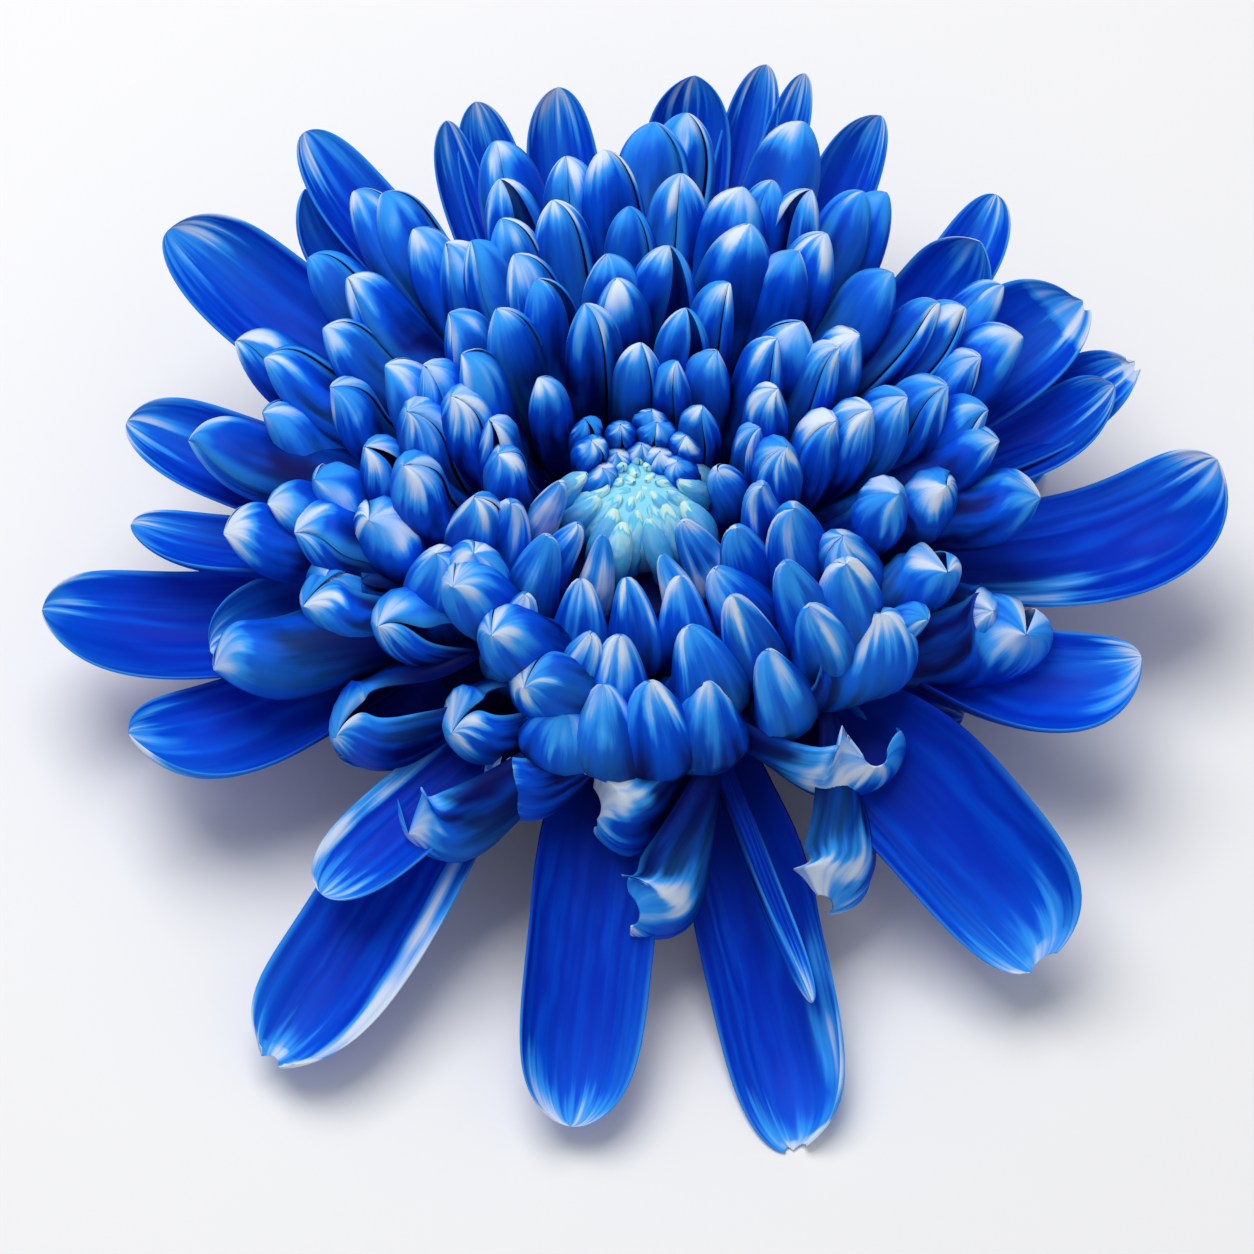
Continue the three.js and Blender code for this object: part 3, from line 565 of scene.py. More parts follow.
def listed_petals(row, base, rise, first_seed):
    """A row's petals, each from its own values, its row's base and a seed of its own."""
    flat, steep, full_height = rise
    petals = []
    for seed, (azimuth, reach, width, pitch, *apart) in enumerate(row, first_seed):
        more = apart[0] if apart else {}
        height = tip_height(azimuth, reach) + more.get("lift", 0)
        petal = {
            **PLAIN_PETAL, **base, "azimuth": azimuth, "reach": reach, "height": height, "width": width,
            "pitch": pitch, "rise": mix(flat, steep, min(1, height / full_height)), "seed": seed,
            "lean": MOST_LEAN * (2 * draw(seed, "lean") - 1), **more,
        }
        petal["cup_root"] = min(petal["cup_root"], petal["cup"] + ROOT_CLOSER)
        petals.append(petal)
    return petals


def guard_petals():
    return listed_petals(GUARD_ROW, GUARD_BASE, GUARD_RISE, FIRST_ROW_SEED)


def second_petals():
    petals = listed_petals(SECOND_ROW, SECOND_BASE, SECOND_RISE, FIRST_ROW_SEED + len(GUARD_ROW))
    for petal in petals:
        petal["width"] *= slimness(petal["azimuth"])
        if petal["twist"] is None:
            petal["twist"] = tilted(petal["azimuth"])
    return petals


def low_petals():
    row = [(azimuth, reach, LOW_WIDTH, LOW_PITCH, {"height": height}) for azimuth, reach, height in LOW_ROW]
    return listed_petals(row, LOW_BASE, LOW_RISE, FIRST_ROW_SEED + len(GUARD_ROW) + len(SECOND_ROW))


def eye_floret(index):
    """One young floret of the eye, larger the further out it stands."""
    jitter = jitters(index)
    share = index / YOUNG_FLORETS
    return dict(
        PLAIN_PETAL, seed=index, azimuth=index * GOLDEN_ANGLE,
        reach=mix(0.6, 6.2, share) + 0.3 * jitter[0],
        height=EYE_HEIGHT - 0.9 + 0.5 * share + 0.3 * jitter[1],
        root_radius=mix(3, 9.6, share**0.7), root_height=29.5, rise=mix(62, 78, share),
        pitch=mix(150, 138, share) + 8 * jitter[3], start=0.42, end=0.42, turn=10 * jitter[2],
        tip_turn=16 * jitter[5], width=mix(1.5, 2.9, share) + 0.2 * jitter[4], neck=0.8,
        widest=0.5, deep=0.9, blunt=1.8, nib=0.1, hood=0.4, cup=150, cup_tip=170,
        grooves=2,
    )


def capsule(index):
    """One small round-topped floret of the arc behind the eye, every other one further out."""
    seed = CAPSULE_SEED + index
    jitter = jitters(seed)
    outer = index % 2
    return dict(
        PLAIN_PETAL, seed=seed,
        azimuth=mix(*CAPSULE_ARC, (index + 0.5) / CAPSULES) + 5 * jitter[0],
        reach=6.4 + 1.8 * outer + 0.5 * jitter[1],
        height=EYE_HEIGHT + 0.2 + 1.6 * outer + 0.6 * jitter[2], root_radius=7.4,
        root_height=28, rise=80, pitch=104 + 8 * jitter[3], tip_turn=14 * jitter[4],
        width=3.8 + 0.5 * jitter[5], neck=0.8, widest=0.6, blunt=2.6, deep=0.85,
        cup=170, cup_tip=178, grooves=2, stripe=0.4, white_from=0.8,
    )


def front_petal(seed, share, middle):
    """One petal of the staggered arcs before the eye."""
    jitter = jitters(seed)
    azimuth = mix(FRONT_RINGS["from"], FRONT_RINGS["to"], share)
    near = nearness(azimuth)
    reach = middle + 1.1 * jitter[0]
    inside = float(smooth(reach / 30))
    beside_eye = reach < PALE_REACH and chosen(seed, "pale")
    return dict(
        PLAIN_PETAL, seed=seed, azimuth=azimuth, reach=reach,
        height=tip_height(azimuth, reach) + 0.8 * jitter[1],
        width=through(reach, INNER_WIDTH) * (1.02 + 0.17 * jitter[2]),
        pitch=through(near, FRONT_PITCH) + 9 * jitter[3],
        root_radius=mix(7, 11, inside), root_height=mix(24, 19, inside),
        rise=through(reach, FRONT_RISE), start=0.5,
        end=mix(0.5, 0.8, near), turn=10 * jitter[4], tip_turn=22 * jitter[5],
        twist=16 * jitter[6], lean=0.25 * jitter[7], widest=mix(0.62, 0.5, near),
        blunt=mix(2.8, 2.2, near), cup=165, cup_tip=178,
        stripe=0.95 if beside_eye else 0.42 * draw(seed, "stripe"),
        white_from=0.4 if beside_eye else mix(0.6, 0.82, draw(seed, "stripe from")),
    )


def front_petals():
    """The petals of all the front arcs, each arc half a step aside of the one before it."""
    petals = []
    for ring in range(FRONT_RINGS["count"]):
        middle = FRONT_RINGS["first"] + FRONT_RINGS["apart"] * ring
        arc = math.radians(FRONT_RINGS["to"] - FRONT_RINGS["from"]) * middle
        count = round(arc / (FRONT_RINGS["overlap"] * through(middle, INNER_WIDTH)))
        for k in range(count):
            seed = FRONT_RING_SEED + len(petals)
            stagger = FRONT_RINGS["stagger"] * (1 if ring % 2 else -1)
            stagger += FRONT_RINGS["uneven"] * (draw(seed, "stagger") - 0.5)
            share = (k + 0.5 + stagger) / count
            petals.append(front_petal(seed, share, middle))
    return petals


def inner_petal(index):
    """One petal of the golden-angle rule, round the back and sides of the eye."""
    jitter = jitters(index)
    order = index - EYE_FLORETS
    share = order / (RULE_PETALS - EYE_FLORETS)
    golden = index * GOLDEN_ANGLE
    near = nearness(golden)
    azimuth = golden + 2.5 * jitter[3]
    reach = 8.8 + 0.26 * order + 0.0018 * order**2 + 0.6 * jitter[0]
    opened = chosen(index, "opened")
    return dict(
        PLAIN_PETAL, seed=index, azimuth=azimuth, reach=reach,
        height=tip_height(azimuth, reach) + 1.2 * jitter[1],
        root_radius=mix(6, 11, share), root_height=mix(26, 20, share),
        rise=through(share, INNER_RISE) + 4 * jitter[0],
        pitch=mix(through(reach, PITCH_BEHIND), through(reach, PITCH_BEFORE), near) + 9 * jitter[4],
        start=0.42, end=mix(0.36, 0.66, near) + 0.06 * jitter[5],
        turn=5 * jitter[2], tip_turn=12 * jitter[7], twist=tilted(azimuth) + 12 * jitter[6],
        lean=0.6 * jitter[4],
        width=through(reach, INNER_WIDTH) * slimness(azimuth) * (1 + 0.1 * jitter[6]),
        cup=146 if opened else 178, cup_tip=166 if opened else 179.5,
    )


def tip_of(petal):
    return polar(petal["azimuth"], petal["reach"], petal["height"])


def inner_petals():
    """The front arcs and the golden-angle petals, each kept clear of the tips placed before it."""
    petals = [capsule(index) for index in range(CAPSULES)]
    tips = [tip_of(petal) for petal in guard_petals() + second_petals()]

    def add_clear(petal, spacing):
        tip = tip_of(petal)
        if all(np.linalg.norm(other - tip) >= spacing for other in tips):
            petals.append(petal)
            tips.append(tip)

    for petal in front_petals():
        add_clear(petal, ARC_SPACING)
    for step, spacing in ((0, PETAL_SPACING), (0.5, FILL_SPACING), (0.25, FILL_SPACING)):
        for index in range(EYE_FLORETS, RULE_PETALS):
            petal = inner_petal(index + step)
            towards_viewer = nearness(petal["azimuth"]) > FRONT_SHARE
            if not towards_viewer or petal["reach"] <= FRONT_EDGE:
                add_clear(petal, spacing)
    return petals


class Graph:
    """Short ways to add and link the nodes of one node tree."""

    def __init__(self, tree):
        self.tree = tree

    def node(self, kind, **settings):
        made = self.tree.nodes.new(kind)
        for key, value in settings.items():
            setattr(made, key, value)
        return made

    def feed(self, socket, value):
        if isinstance(value, bpy.types.NodeSocket):
            self.tree.links.new(value, socket)
        else:
            socket.default_value = value

    def math(self, operation, first, second=0.0, third=0.0, clamp=False):
        made = self.node("ShaderNodeMath", operation=operation, use_clamp=clamp)
        for socket, value in zip(made.inputs, (first, second, third)):
            self.feed(socket, value)
        return made.outputs[0]

    def times(self, first, second):
        return self.math("MULTIPLY", first, second)

    def sum_of(self, value, factor, other):
        """Value times factor, plus other."""
        return self.math("MULTIPLY_ADD", value, factor, other)

    def fraction(self, value, factor):
        return self.math("FRACT", self.times(value, factor))

    def span(self, value, low, high, bottom=0.0, top=1.0):
        made = self.node("ShaderNodeMapRange", interpolation_type="SMOOTHSTEP")
        for socket, entry in zip(made.inputs, (value, low, high, bottom, top)):
            self.feed(socket, entry)
        return made.outputs[0]

    def blend(self, share, first, second):
        made = self.node("ShaderNodeMix", data_type="RGBA")
        for key, entry in ((0, share), (6, first), (7, second)):
            self.feed(made.inputs[key], entry)
        return made.outputs[2]

    def place(self, x, y, z):
        made = self.node("ShaderNodeCombineXYZ")
        for socket, entry in zip(made.inputs, (x, y, z)):
            self.feed(socket, entry)
        return made.outputs[0]

    def noise(self, vector, scale, detail):
        made = self.node("ShaderNodeTexNoise")
        self.feed(made.inputs["Vector"], vector)
        made.inputs["Scale"].default_value = scale
        made.inputs["Detail"].default_value = detail
        return made.outputs["Fac"]

    def value_of(self, name):
        return self.node("ShaderNodeAttribute", attribute_name=name).outputs["Fac"]


def new_group(name, inputs, outputs):
    tree = bpy.data.node_groups.new(name, "ShaderNodeTree")
    for label, kind, value in inputs:
        socket = tree.interface.new_socket(label, in_out="INPUT", socket_type=kind)
        socket.default_value = value
    for label, kind in outputs:
        tree.interface.new_socket(label, in_out="OUTPUT", socket_type=kind)
    graph = Graph(tree)
    return graph, graph.node("NodeGroupInput").outputs, graph.node("NodeGroupOutput").inputs


NUMBER, COLOUR = "NodeSocketFloat", "NodeSocketColor"
# Stretch of each noise pattern across and along a petal, its scale and its detail
PATTERNS = {"streak": (3.2, 0.9, 1.6, 4), "waver": (1, 2, 2, 2), "blotch": (1, 2.4, 1.3, 2)}
VEIN_WAVER = 4.0
# Bands of a petal: factor that scatters them over the petals, colour, where they begin and are full
BANDS = (
    {"scatter": 13.0, "tone": "Azure", "from": 0.4, "full": 0.8, "amount": 0.5},
    {"scatter": 29.0, "tone": "Root", "from": 0.2, "full": 0.6, "amount": 0.4},
)
# Shares of a petal's length: shifts of the colours, and the stretches over which they change
STREAK_SHIFT, VEIN_SHIFT = 0.16, 0.03
BODY_SPAN, BRIGHT_SPAN, TIP_SPAN = 0.3, 0.22, 0.15
INSIDE_AMOUNT = 0.7  # how far the inner face takes its own colour
VEIN_LIGHT = 0.5  # how far the veins take the bright colour
RELIEF = {"Strength": 0.35, "Distance": 0.0002}  # bump of the streaks and veins
MATT = 0.06  # petals hardly mirror


def streak_group():
    """Lengthwise streaks, fine veins and slow blotches of a petal, each from 0 to 1."""
    graph, given, result = new_group(
        "Petal streaks",
        [("Along", NUMBER, 0.5), ("Across", NUMBER, 0.0), ("Seed", NUMBER, 0.0), ("Veins", NUMBER, 7.0)],
        [("Streak", NUMBER), ("Vein", NUMBER), ("Blotch", NUMBER)],
    )
    apart = graph.times(given["Seed"], 97.0)

    def pattern(name):
        across, along, scale, detail = PATTERNS[name]
        place = graph.place(graph.times(given["Across"], across), graph.times(given["Along"], along), apart)
        return graph.noise(place, scale, detail)

    graph.feed(result["Streak"], graph.span(pattern("streak"), 0.3, 0.7))
    ribs = graph.sum_of(pattern("waver"), VEIN_WAVER, graph.times(given["Across"], given["Veins"]))
    vein = graph.math("SINE", graph.times(ribs, math.pi))
    graph.feed(result["Vein"], graph.sum_of(vein, 0.5, 0.5))
    graph.feed(result["Blotch"], graph.span(pattern("blotch"), 0.35, 0.65))
    return graph.tree


def banded(graph, given, colour, streak):
    """The colour with the light and the dark band that each petal has at a place of its own."""
    along, across, seed = (graph.value_of(name) for name in ("along", "across", "seed"))
    for band in BANDS:
        middle = graph.sum_of(graph.fraction(seed, band["scatter"]), 2.0, -1.0)
        away = graph.math("ABSOLUTE", graph.math("SUBTRACT", across, middle))
        shown = graph.times(graph.span(away, 0.6, 0.05), graph.span(along, band["from"], band["full"]))
        shown = graph.times(shown, graph.sum_of(streak, 0.7, 0.3))
        shown = graph.times(shown, graph.times(given["Bands"], band["amount"]))
        colour = graph.blend(shown, colour, given[band["tone"]])
    return colour


def pale_marks(graph, given, shifted, streak, blotch):
    """How strongly the pale tip, the pale margins and the white marks show."""
    along, across, white = (graph.value_of(name) for name in ("along", "across", "white"))
    tip = graph.span(shifted, given["Pale from"], graph.math("ADD", given["Pale from"], TIP_SPAN))
    tip = graph.times(tip, graph.sum_of(blotch, 0.6, 0.4))
    from_margin = graph.span(graph.math("ABSOLUTE", across), 0.86, 1.0)
    margin = graph.times(graph.times(from_margin, graph.span(along, 0.4, 0.85)), given["Margin"])
    uneven = graph.sum_of(blotch, 0.5, graph.sum_of(streak, 0.5, -0.1))
    broken = graph.span(graph.sum_of(uneven, 1.1, white), 0.7, 1.9)
    broken = graph.times(broken, graph.span(white, 0.0, 0.25))
    marked = graph.math("MAXIMUM", graph.math("MAXIMUM", tip, margin), broken)
    return graph.math("MULTIPLY", marked, given["Pale amount"], clamp=True)


def pigment_group(streaks):
    """Colour, roughness and fine relief of a dyed petal, from its root colour to its pale tip."""
    black = (0, 0, 0, 1)
    graph, given, result = new_group(
        "Petal pigment",
        [
            *((label, COLOUR, black) for label in ("Root", "Body", "Bright", "Pale", "Inside", "Azure")),
            ("Body from", NUMBER, 0.45), ("Pale from", NUMBER, 0.86), ("Pale amount", NUMBER, 0.8),
            ("Margin", NUMBER, 0.3), ("Veins", NUMBER, 7.0), ("Mixed", NUMBER, 0.0), ("Bands", NUMBER, 1.0),
        ],
        [("Colour", COLOUR), ("Roughness", NUMBER), ("Height", NUMBER)],
    )
    along, across, inner, seed = (graph.value_of(name) for name in ("along", "across", "inner", "seed"))
    marks = graph.node("ShaderNodeGroup", node_tree=streaks)
    for label, value in (("Along", along), ("Across", across), ("Seed", seed), ("Veins", given["Veins"])):
        graph.feed(marks.inputs[label], value)
    streak, vein, blotch = (marks.outputs[label] for label in ("Streak", "Vein", "Blotch"))
    # Streaks are weaker where they run together at the tip
    streak = graph.sum_of(graph.math("SUBTRACT", streak, 0.5), graph.span(along, 1.0, 0.84, 0.5, 1.0), 0.5)
    # Streaks and veins carry the colours a little way along the petal
    shifted = graph.sum_of(graph.math("SUBTRACT", streak, 0.5), STREAK_SHIFT, along)
    shifted = graph.sum_of(graph.math("SUBTRACT", vein, 0.5), VEIN_SHIFT, shifted)
    # Towards its root a petal takes the dark root colour, partly dye and partly painted shade among the
    # petals
    early = graph.math("SUBTRACT", given["Body from"], BODY_SPAN)
    colour = graph.blend(graph.span(shifted, early, given["Body from"]), given["Root"], given["Body"])
    late = graph.math("SUBTRACT", given["Pale from"], BRIGHT_SPAN)
    full = graph.math("ADD", given["Pale from"], 0.1)
    colour = graph.blend(graph.span(shifted, late, full, 0.0, 0.6), colour, given["Bright"])
    colour = banded(graph, given, colour, streak)
    inside = graph.times(inner, graph.span(along, 0.97, 0.72))
    colour = graph.blend(graph.times(inside, INSIDE_AMOUNT), colour, given["Inside"])
    lightened = graph.times(graph.times(vein, streak), VEIN_LIGHT)
    colour = graph.blend(graph.times(lightened, graph.span(along, 0.3, 0.6)), colour, given["Bright"])
    one_in_three = graph.span(graph.fraction(seed, 31.0), 0.55, 0.75)
    colour = graph.blend(graph.times(one_in_three, given["Mixed"]), colour, given["Root"])
    pale = pale_marks(graph, given, shifted, streak, blotch)
    colour = graph.blend(graph.span(pale, 0.0, 0.5), colour, given["Azure"])
    graph.feed(result["Colour"], graph.blend(graph.span(pale, 0.4, 1.0), colour, given["Pale"]))
    graph.feed(result["Roughness"], graph.sum_of(streak, 0.16, 0.46))
    relief = graph.sum_of(vein, 0.6, graph.times(streak, 0.4))
    graph.feed(result["Height"], graph.times(relief, graph.span(along, 0.05, 0.3)))
    return graph.tree


def group_named(name, make):
    return bpy.data.node_groups.get(name) or make()


def petal_material(name, colours, numbers):
    """A petal's finish: the pigment group feeding one Principled shader and its bump."""
    streaks = group_named("Petal streaks", streak_group)
    pigment = group_named("Petal pigment", lambda: pigment_group(streaks))
    material = bpy.data.materials.new(name)
    material.use_nodes = True
    graph = Graph(material.node_tree)
    shader = material.node_tree.nodes["Principled BSDF"]
    marks = graph.node("ShaderNodeGroup", node_tree=pigment)
    for label, value in colours.items():
        marks.inputs[label].default_value = (*value, 1)
    for label, value in numbers.items():
        marks.inputs[label].default_value = value
    bump = graph.node("ShaderNodeBump")
    for label, value in RELIEF.items():
        bump.inputs[label].default_value = value
    graph.feed(bump.inputs["Height"], marks.outputs["Height"])
    graph.feed(shader.inputs["Base Color"], marks.outputs["Colour"])
    graph.feed(shader.inputs["Roughness"], marks.outputs["Roughness"])
    graph.feed(shader.inputs["Normal"], bump.outputs["Normal"])
    shader.inputs["Specular IOR Level"].default_value = MATT
    return material


def colour_setting(name, description, red, green, blue):
    """A colour that the user may change, with its default as an 8-bit screen colour."""
    return bpy.props.FloatVectorProperty(
        name=name, description=description, subtype="COLOR", size=3, default=linear(red, green, blue))


def number_setting(name, description, default):
    return bpy.props.FloatProperty(name=name, description=description, default=default)


class BloomSettings(bpy.types.PropertyGroup):
    """Sizes and colours of the petals."""

    thickness: bpy.props.FloatProperty(
        name="Petal thickness", description="Thickness of a petal along its middle, in millimetres",
        default=0.5, min=0.2, max=1.0)
    # Root colour: partly the dye pooled at the petals' roots, partly painted shade deep among the petals
    root: colour_setting("Root colour with painted shade", "Dark colour deep among the petals, partly dye and partly painted shade", 0, 11, 88)
    body: colour_setting("Body colour", "Colour of the middle of a petal", 0, 49, 192)
    bright: colour_setting("Bright colour", "Colour towards the tip and in the light streaks", 0, 99, 244)
    azure: colour_setting("Azure colour", "Light blue between the bright colour and the tips", 52, 158, 250)
    pale: colour_setting("Pale colour", "Colour of the tips and margins", 222, 234, 248)
    inside: colour_setting("Inside colour", "Colour of the hollow inner face", 0, 48, 190)


class EyeSettings(bpy.types.PropertyGroup):
    """Colours of the eye's young florets."""

    root: colour_setting("Outer colour", "Light blue at the florets' roots", 36, 165, 240)
    body: colour_setting("Body colour", "Colour of the middle of a floret", 96, 206, 246)
    pale: colour_setting("Pale colour", "Pale green of the florets' tips", 218, 250, 240)


class StemSettings(bpy.types.PropertyGroup):
    """Colours of the stem and its bracts."""

    green: colour_setting("Green", "Colour of the stem and bracts", 96, 132, 66)
    edge: colour_setting("Bract edge", "Papery margin of a bract", 176, 178, 120)


class StageSettings(bpy.types.PropertyGroup):
    """Camera and lights."""

    elevation: bpy.props.FloatProperty(
        name="Camera elevation", description="Angle of the view above the horizon", subtype="ANGLE",
        default=math.radians(58))
    distance: bpy.props.FloatProperty(
        name="Camera distance", description="Distance from the camera to the eye's plane", unit="LENGTH",
        default=0.42)
    lens: number_setting("Lens", "Focal length on a 36 mm wide sensor, in millimetres", 112.0)
    key: number_setting("Key light", "Power of the large light over the bloom, in watts", 3.2)
    fill: number_setting("Fill light", "Power of the light from the front, in watts", 0.28)
    sky: number_setting("Surrounding light", "Strength of the even light from all round", 0.36)
    floor: bpy.props.FloatVectorProperty(
        name="Floor colour", description="Colour of the plain floor", subtype="COLOR", size=3,
        default=(0.93, 0.93, 0.93))


def petal_colours(settings):
    return {
        "Root": settings.root, "Body": settings.body, "Bright": settings.bright, "Pale": settings.pale,
        "Inside": settings.inside, "Azure": settings.azure,
    }


def dress(piece, node):
    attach(piece, "root")
    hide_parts(node)


class BLOOM_OT_inner_petals(bpy.types.Operator):
    """Builds the core and the incurved petals round the eye"""

    bl_idname = "bloom.inner_petals"
    bl_label = "Inner petals"

    def execute(self, context):
        settings = context.scene.bloom
        # Body from near the tip keeps the inner petals in the dark root colour, partly painted shade, up to
        # about two thirds of their length
        material = petal_material(
            "Inner petal", petal_colours(settings),
            {"Body from": 0.98, "Pale from": 0.86, "Pale amount": 1.0, "Margin": 0.2, "Veins": 5.0})
        parts = [core_grid(CORE)]
        parts += [petal_grid(petal, INNER_GRID, settings.thickness) for petal in inner_petals()]
        dress(piece_from("inner_petals", parts, material), "blue_petals")
        return {"FINISHED"}


class BLOOM_OT_second_row(bpy.types.Operator):
    """Builds the second row, with its waved and twisted ends at the front"""

    bl_idname = "bloom.second_row"
    bl_label = "Second row"

    def execute(self, context):
        settings = context.scene.bloom
        material = petal_material(
            "Second row petal", petal_colours(settings),
            {"Body from": 0.92, "Pale from": 0.86, "Pale amount": 0.95, "Margin": 0.45, "Veins": 7.0})
        parts = [petal_grid(petal, SECOND_GRID, settings.thickness) for petal in second_petals()]
        dress(piece_from("second_row_petals", parts, material), "blue_petals")
        return {"FINISHED"}


class BLOOM_OT_outer_petals(bpy.types.Operator):
    """Builds the outermost petals and the low ones under the far side"""

    bl_idname = "bloom.outer_petals"
    bl_label = "Outermost petals"

    def execute(self, context):
        settings = context.scene.bloom
        material = petal_material(
            "Outermost petal", petal_colours(settings),
            {"Body from": 0.66, "Pale from": 0.88, "Pale amount": 1.0, "Margin": 0.3, "Veins": 6.5})
        petals = guard_petals() + low_petals()
        parts = [petal_grid(petal, OUTER_GRID, settings.thickness) for petal in petals]
        dress(piece_from("outermost_petals", parts, material), "blue_petals")
        return {"FINISHED"}


class BLOOM_OT_eye(bpy.types.Operator):
    """Builds the young florets of the eye"""

    bl_idname = "bloom.eye"
    bl_label = "Eye"

    def execute(self, context):
        settings = context.scene.bloom_eye
        colours = {
            "Root": settings.root, "Body": settings.body, "Bright": settings.pale, "Pale": settings.pale,
            "Inside": settings.body, "Azure": settings.body,
        }
        material = petal_material(
            "Eye floret", colours,
            {"Body from": 0.5, "Pale from": 0.8, "Pale amount": 1.2, "Veins": 4.0, "Mixed": 0.6,
             "Bands": 0.3})
        parts = [core_grid(EYE_CORE)]
        parts += [petal_grid(eye_floret(index), EYE_GRID, context.scene.bloom.thickness)
                  for index in range(YOUNG_FLORETS)]
        dress(piece_from("eye_florets", parts, material), "green_eye")
        return {"FINISHED"}


def bract(row, index):
    return dict(
        PLAIN_PETAL, seed=index, azimuth=360 / row["count"] * (index + 0.5 * (row["count"] % 2)),
        reach=row["reach"], height=row["high"], pitch=34, root_radius=row["root"],
        root_height=row["low"], rise=20, width=row["width"], neck=0.9, widest=0.3,
        blunt=1.4, deep=0.8, hood=0, nib=0.1, spiral=0,
        cup_root=40, cup=40, cup_tip=40, grooves=1,
    )


def stem_ribs(radius, turn):
    """Share of the radius by which the stem's surface stands out."""
    return RIB_HEIGHT * np.cos(STEM_RIBS * turn) if RIBBED[0] < radius < RIBBED[1] else 0


def stem_grid():
    """Points, quads and surface values of the ribbed stem and the cup that it widens into."""
    profile = (
        (NO_RADIUS, STEM_END), (STEM_RADIUS - 0.5, STEM_END), (STEM_RADIUS, STEM_END + 0.3),
        (STEM_RADIUS, STEM_END + 3), (STEM_RADIUS, CALYX["foot"] - 1.5),
        (CALYX["radius"] * 0.55, CALYX["foot"] + 1), (CALYX["radius"] * 0.9, CALYX["top"] - 3),
        (CALYX["radius"], CALYX["top"] - 0.4), (NO_RADIUS, CALYX["top"] - 0.3),
    )
    points, faces = turned(profile, STEM_AROUND, stem_ribs)
    return points, faces, plain_values(np.clip(points[:, 2] / CALYX["top"], 0, 1), STEM_TINT)


class BLOOM_OT_stem(bpy.types.Operator):
    """Builds the cut stem and the rows of bracts under the petals"""

    bl_idname = "bloom.stem"
    bl_label = "Stem and bracts"

    def execute(self, context):
        settings = context.scene.bloom_stem
        colours = {
            "Root": settings.green, "Body": settings.green, "Bright": settings.edge, "Pale": settings.edge,
            "Inside": settings.green, "Azure": settings.edge,
        }
        material = petal_material(
            "Stem green", colours, {"Body from": 0.4, "Pale from": 0.9, "Pale amount": 0.8, "Veins": 5.0})
        parts = [stem_grid()]
        for row in BRACT_ROWS:
            bracts = [bract(row, index) for index in range(row["count"])]
            parts += [petal_grid(one, BRACT_GRID, BRACT_THICKNESS) for one in bracts]
        dress(piece_from("stem_with_bracts", parts, material), "stem_and_bracts")
        return {"FINISHED"}


def camera_axes(elevation):
    """Directions out of the view towards the viewer, and up in the view."""
    back = Vector((0, -math.cos(elevation), math.sin(elevation)))
    return back, Vector((0, math.sin(elevation), math.cos(elevation)))


def area_light(name, layout, power):
    """A square light that faces the bloom."""
    light = bpy.data.lights.new(name, "AREA")
    light.size = layout["size"]
    light.energy = power
    lamp = bpy.data.objects.new(name, light)
    bpy.context.scene.collection.objects.link(lamp)
    lamp.location = layout["place"]
    lamp.rotation_euler = (Vector(LIT_POINT) - lamp.location).to_track_quat("-Z", "Y").to_euler()


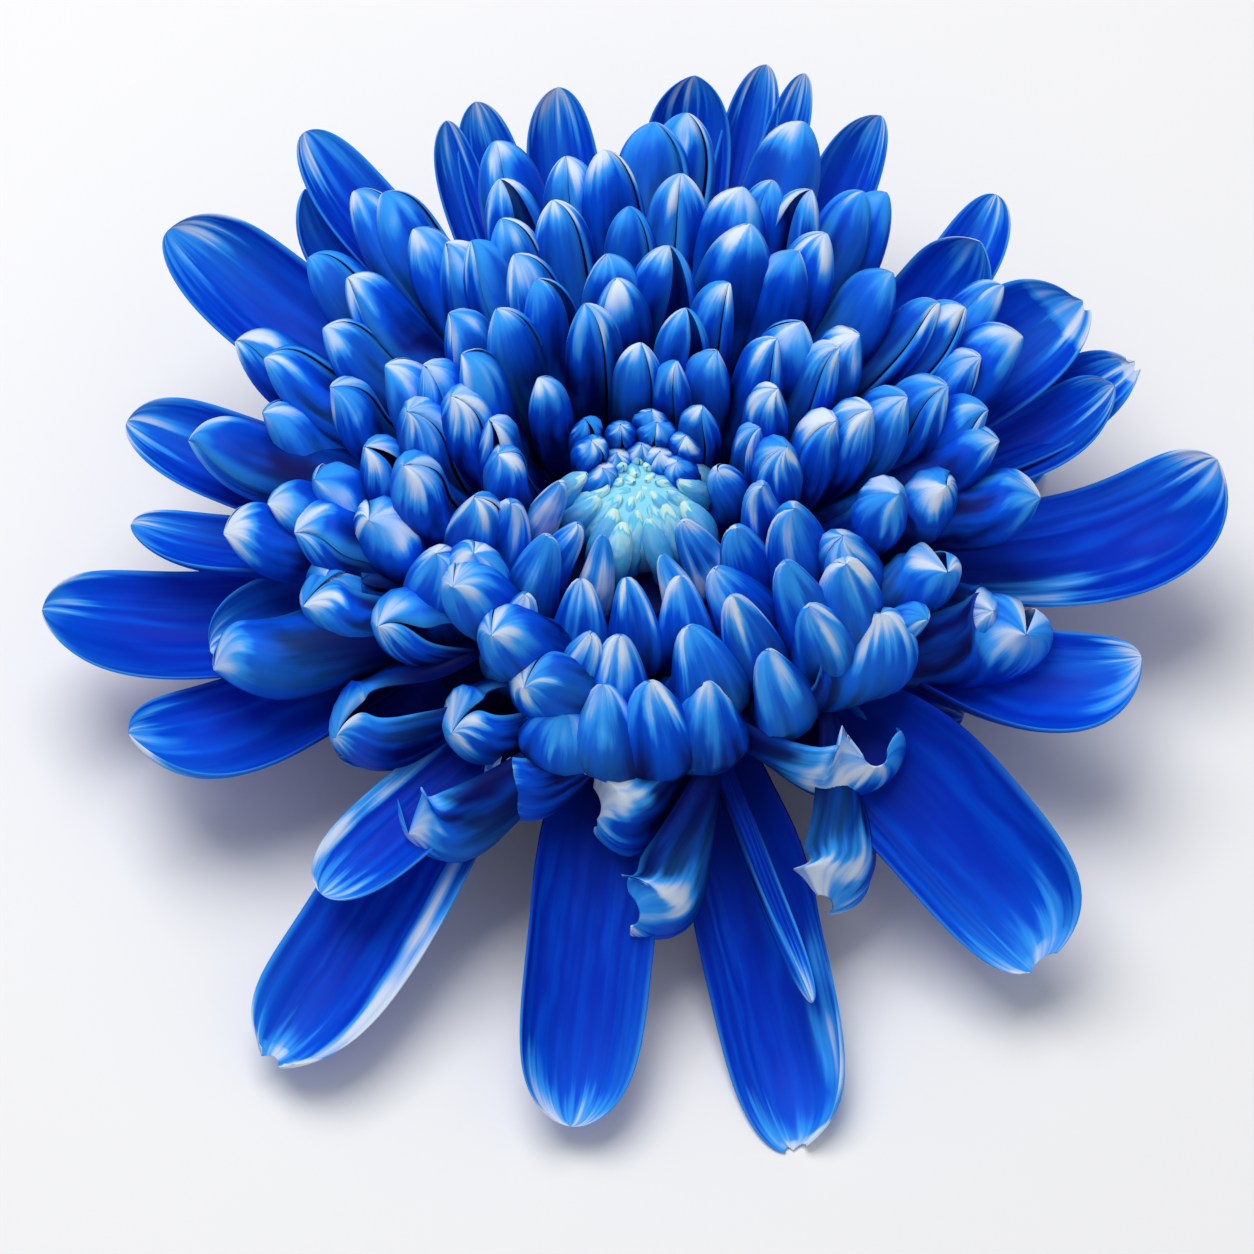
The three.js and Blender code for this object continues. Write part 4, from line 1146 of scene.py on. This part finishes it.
class BLOOM_OT_stage(bpy.types.Operator):
    """Sets the floor, the soft lights and the camera at the photograph's angle"""

    bl_idname = "bloom.stage"
    bl_label = "Stage"

    def execute(self, context):
        settings = context.scene.bloom_stage
        mesh = bpy.data.meshes.new("floor")
        corners = [(x * FLOOR_REACH, y * FLOOR_REACH, 0) for x, y in ((-1, -1), (1, -1), (1, 1), (-1, 1))]
        mesh.from_pydata(corners, [], [(0, 1, 2, 3)])
        material = bpy.data.materials.new("Floor")
        material.use_nodes = True
        graph = Graph(material.node_tree)
        shader = material.node_tree.nodes["Principled BSDF"]
        place = graph.node("ShaderNodeTexCoord").outputs["Object"]
        tone = graph.noise(place, FLOOR_GRAIN["scale"], FLOOR_GRAIN["detail"])
        floor_colour = (*settings.floor, 1)
        shade = (*(FLOOR_GRAIN["darkest"] * value for value in settings.floor), 1)
        graph.feed(shader.inputs["Base Color"], graph.blend(tone, floor_colour, shade))
        shader.inputs["Roughness"].default_value = FLOOR_ROUGHNESS
        mesh.materials.append(material)
        floor = bpy.data.objects.new("floor", mesh)
        context.scene.collection.objects.link(floor)

        world = bpy.data.worlds.new("Surroundings")
        context.scene.world = world
        world.use_nodes = True
        sky = world.node_tree.nodes["Background"]
        sky.inputs["Color"].default_value = SKY_COLOUR
        sky.inputs["Strength"].default_value = settings.sky
        area_light("key", KEY_LIGHT, settings.key)
        area_light("fill", FILL_LIGHT, settings.fill)

        back, up = camera_axes(settings.elevation)
        camera_data = bpy.data.cameras.new("camera")
        camera_data.lens = settings.lens
        camera_data.sensor_width = SENSOR_WIDTH
        camera = bpy.data.objects.new("camera", camera_data)
        context.scene.collection.objects.link(camera)
        per_pixel = SENSOR_WIDTH / settings.lens * settings.distance / PHOTO_WIDTH
        eye = Vector((AXIS[0], AXIS[1], EYE_HEIGHT)) * MM
        aim = eye - Vector((1, 0, 0)) * (EYE_RIGHT - PHOTO_WIDTH / 2) * per_pixel
        aim -= up * (PHOTO_WIDTH / 2 - EYE_DOWN) * per_pixel
        camera.location = aim + back * settings.distance
        camera.rotation_euler = (-back).to_track_quat("-Z", "Y").to_euler()
        context.scene.camera = camera
        context.scene.view_settings.view_transform = "Standard"
        return {"FINISHED"}


class BLOOM_PT_panel(bpy.types.Panel):
    """Buttons and settings of the bloom in the 3D view's sidebar"""

    bl_label = "Chrysanthemum bloom"
    bl_idname = "BLOOM_PT_panel"
    bl_space_type = "VIEW_3D"
    bl_region_type = "UI"
    bl_category = "Bloom"

    def draw(self, context):
        for name in ("bloom", "bloom_eye", "bloom_stem", "bloom_stage"):
            box = self.layout.box()
            settings = getattr(context.scene, name)
            for key in settings.bl_rna.properties.keys():
                if key not in {"rna_type", "name"}:
                    box.prop(settings, key)
        for operator in OPERATORS:
            self.layout.operator(operator.bl_idname)


OPERATORS = (
    BLOOM_OT_inner_petals, BLOOM_OT_second_row, BLOOM_OT_outer_petals, BLOOM_OT_eye, BLOOM_OT_stem,
    BLOOM_OT_stage,
)
SETTINGS = {
    "bloom": BloomSettings, "bloom_eye": EyeSettings, "bloom_stem": StemSettings,
    "bloom_stage": StageSettings,
}


def register():
    for settings in SETTINGS.values():
        bpy.utils.register_class(settings)
    for operator in OPERATORS:
        bpy.utils.register_class(operator)
    bpy.utils.register_class(BLOOM_PT_panel)
    for name, settings in SETTINGS.items():
        setattr(bpy.types.Scene, name, bpy.props.PointerProperty(type=settings))


def unregister():
    for name in SETTINGS:
        delattr(bpy.types.Scene, name)
    bpy.utils.unregister_class(BLOOM_PT_panel)
    for entry in (*OPERATORS, *SETTINGS.values()):
        bpy.utils.unregister_class(entry)


def main():
    register()
    bpy.ops.bloom.inner_petals()
    bpy.ops.bloom.second_row()
    bpy.ops.bloom.outer_petals()
    bpy.ops.bloom.eye()
    bpy.ops.bloom.stem()
    bpy.ops.bloom.stage()


if __name__ == "__main__":
    main()
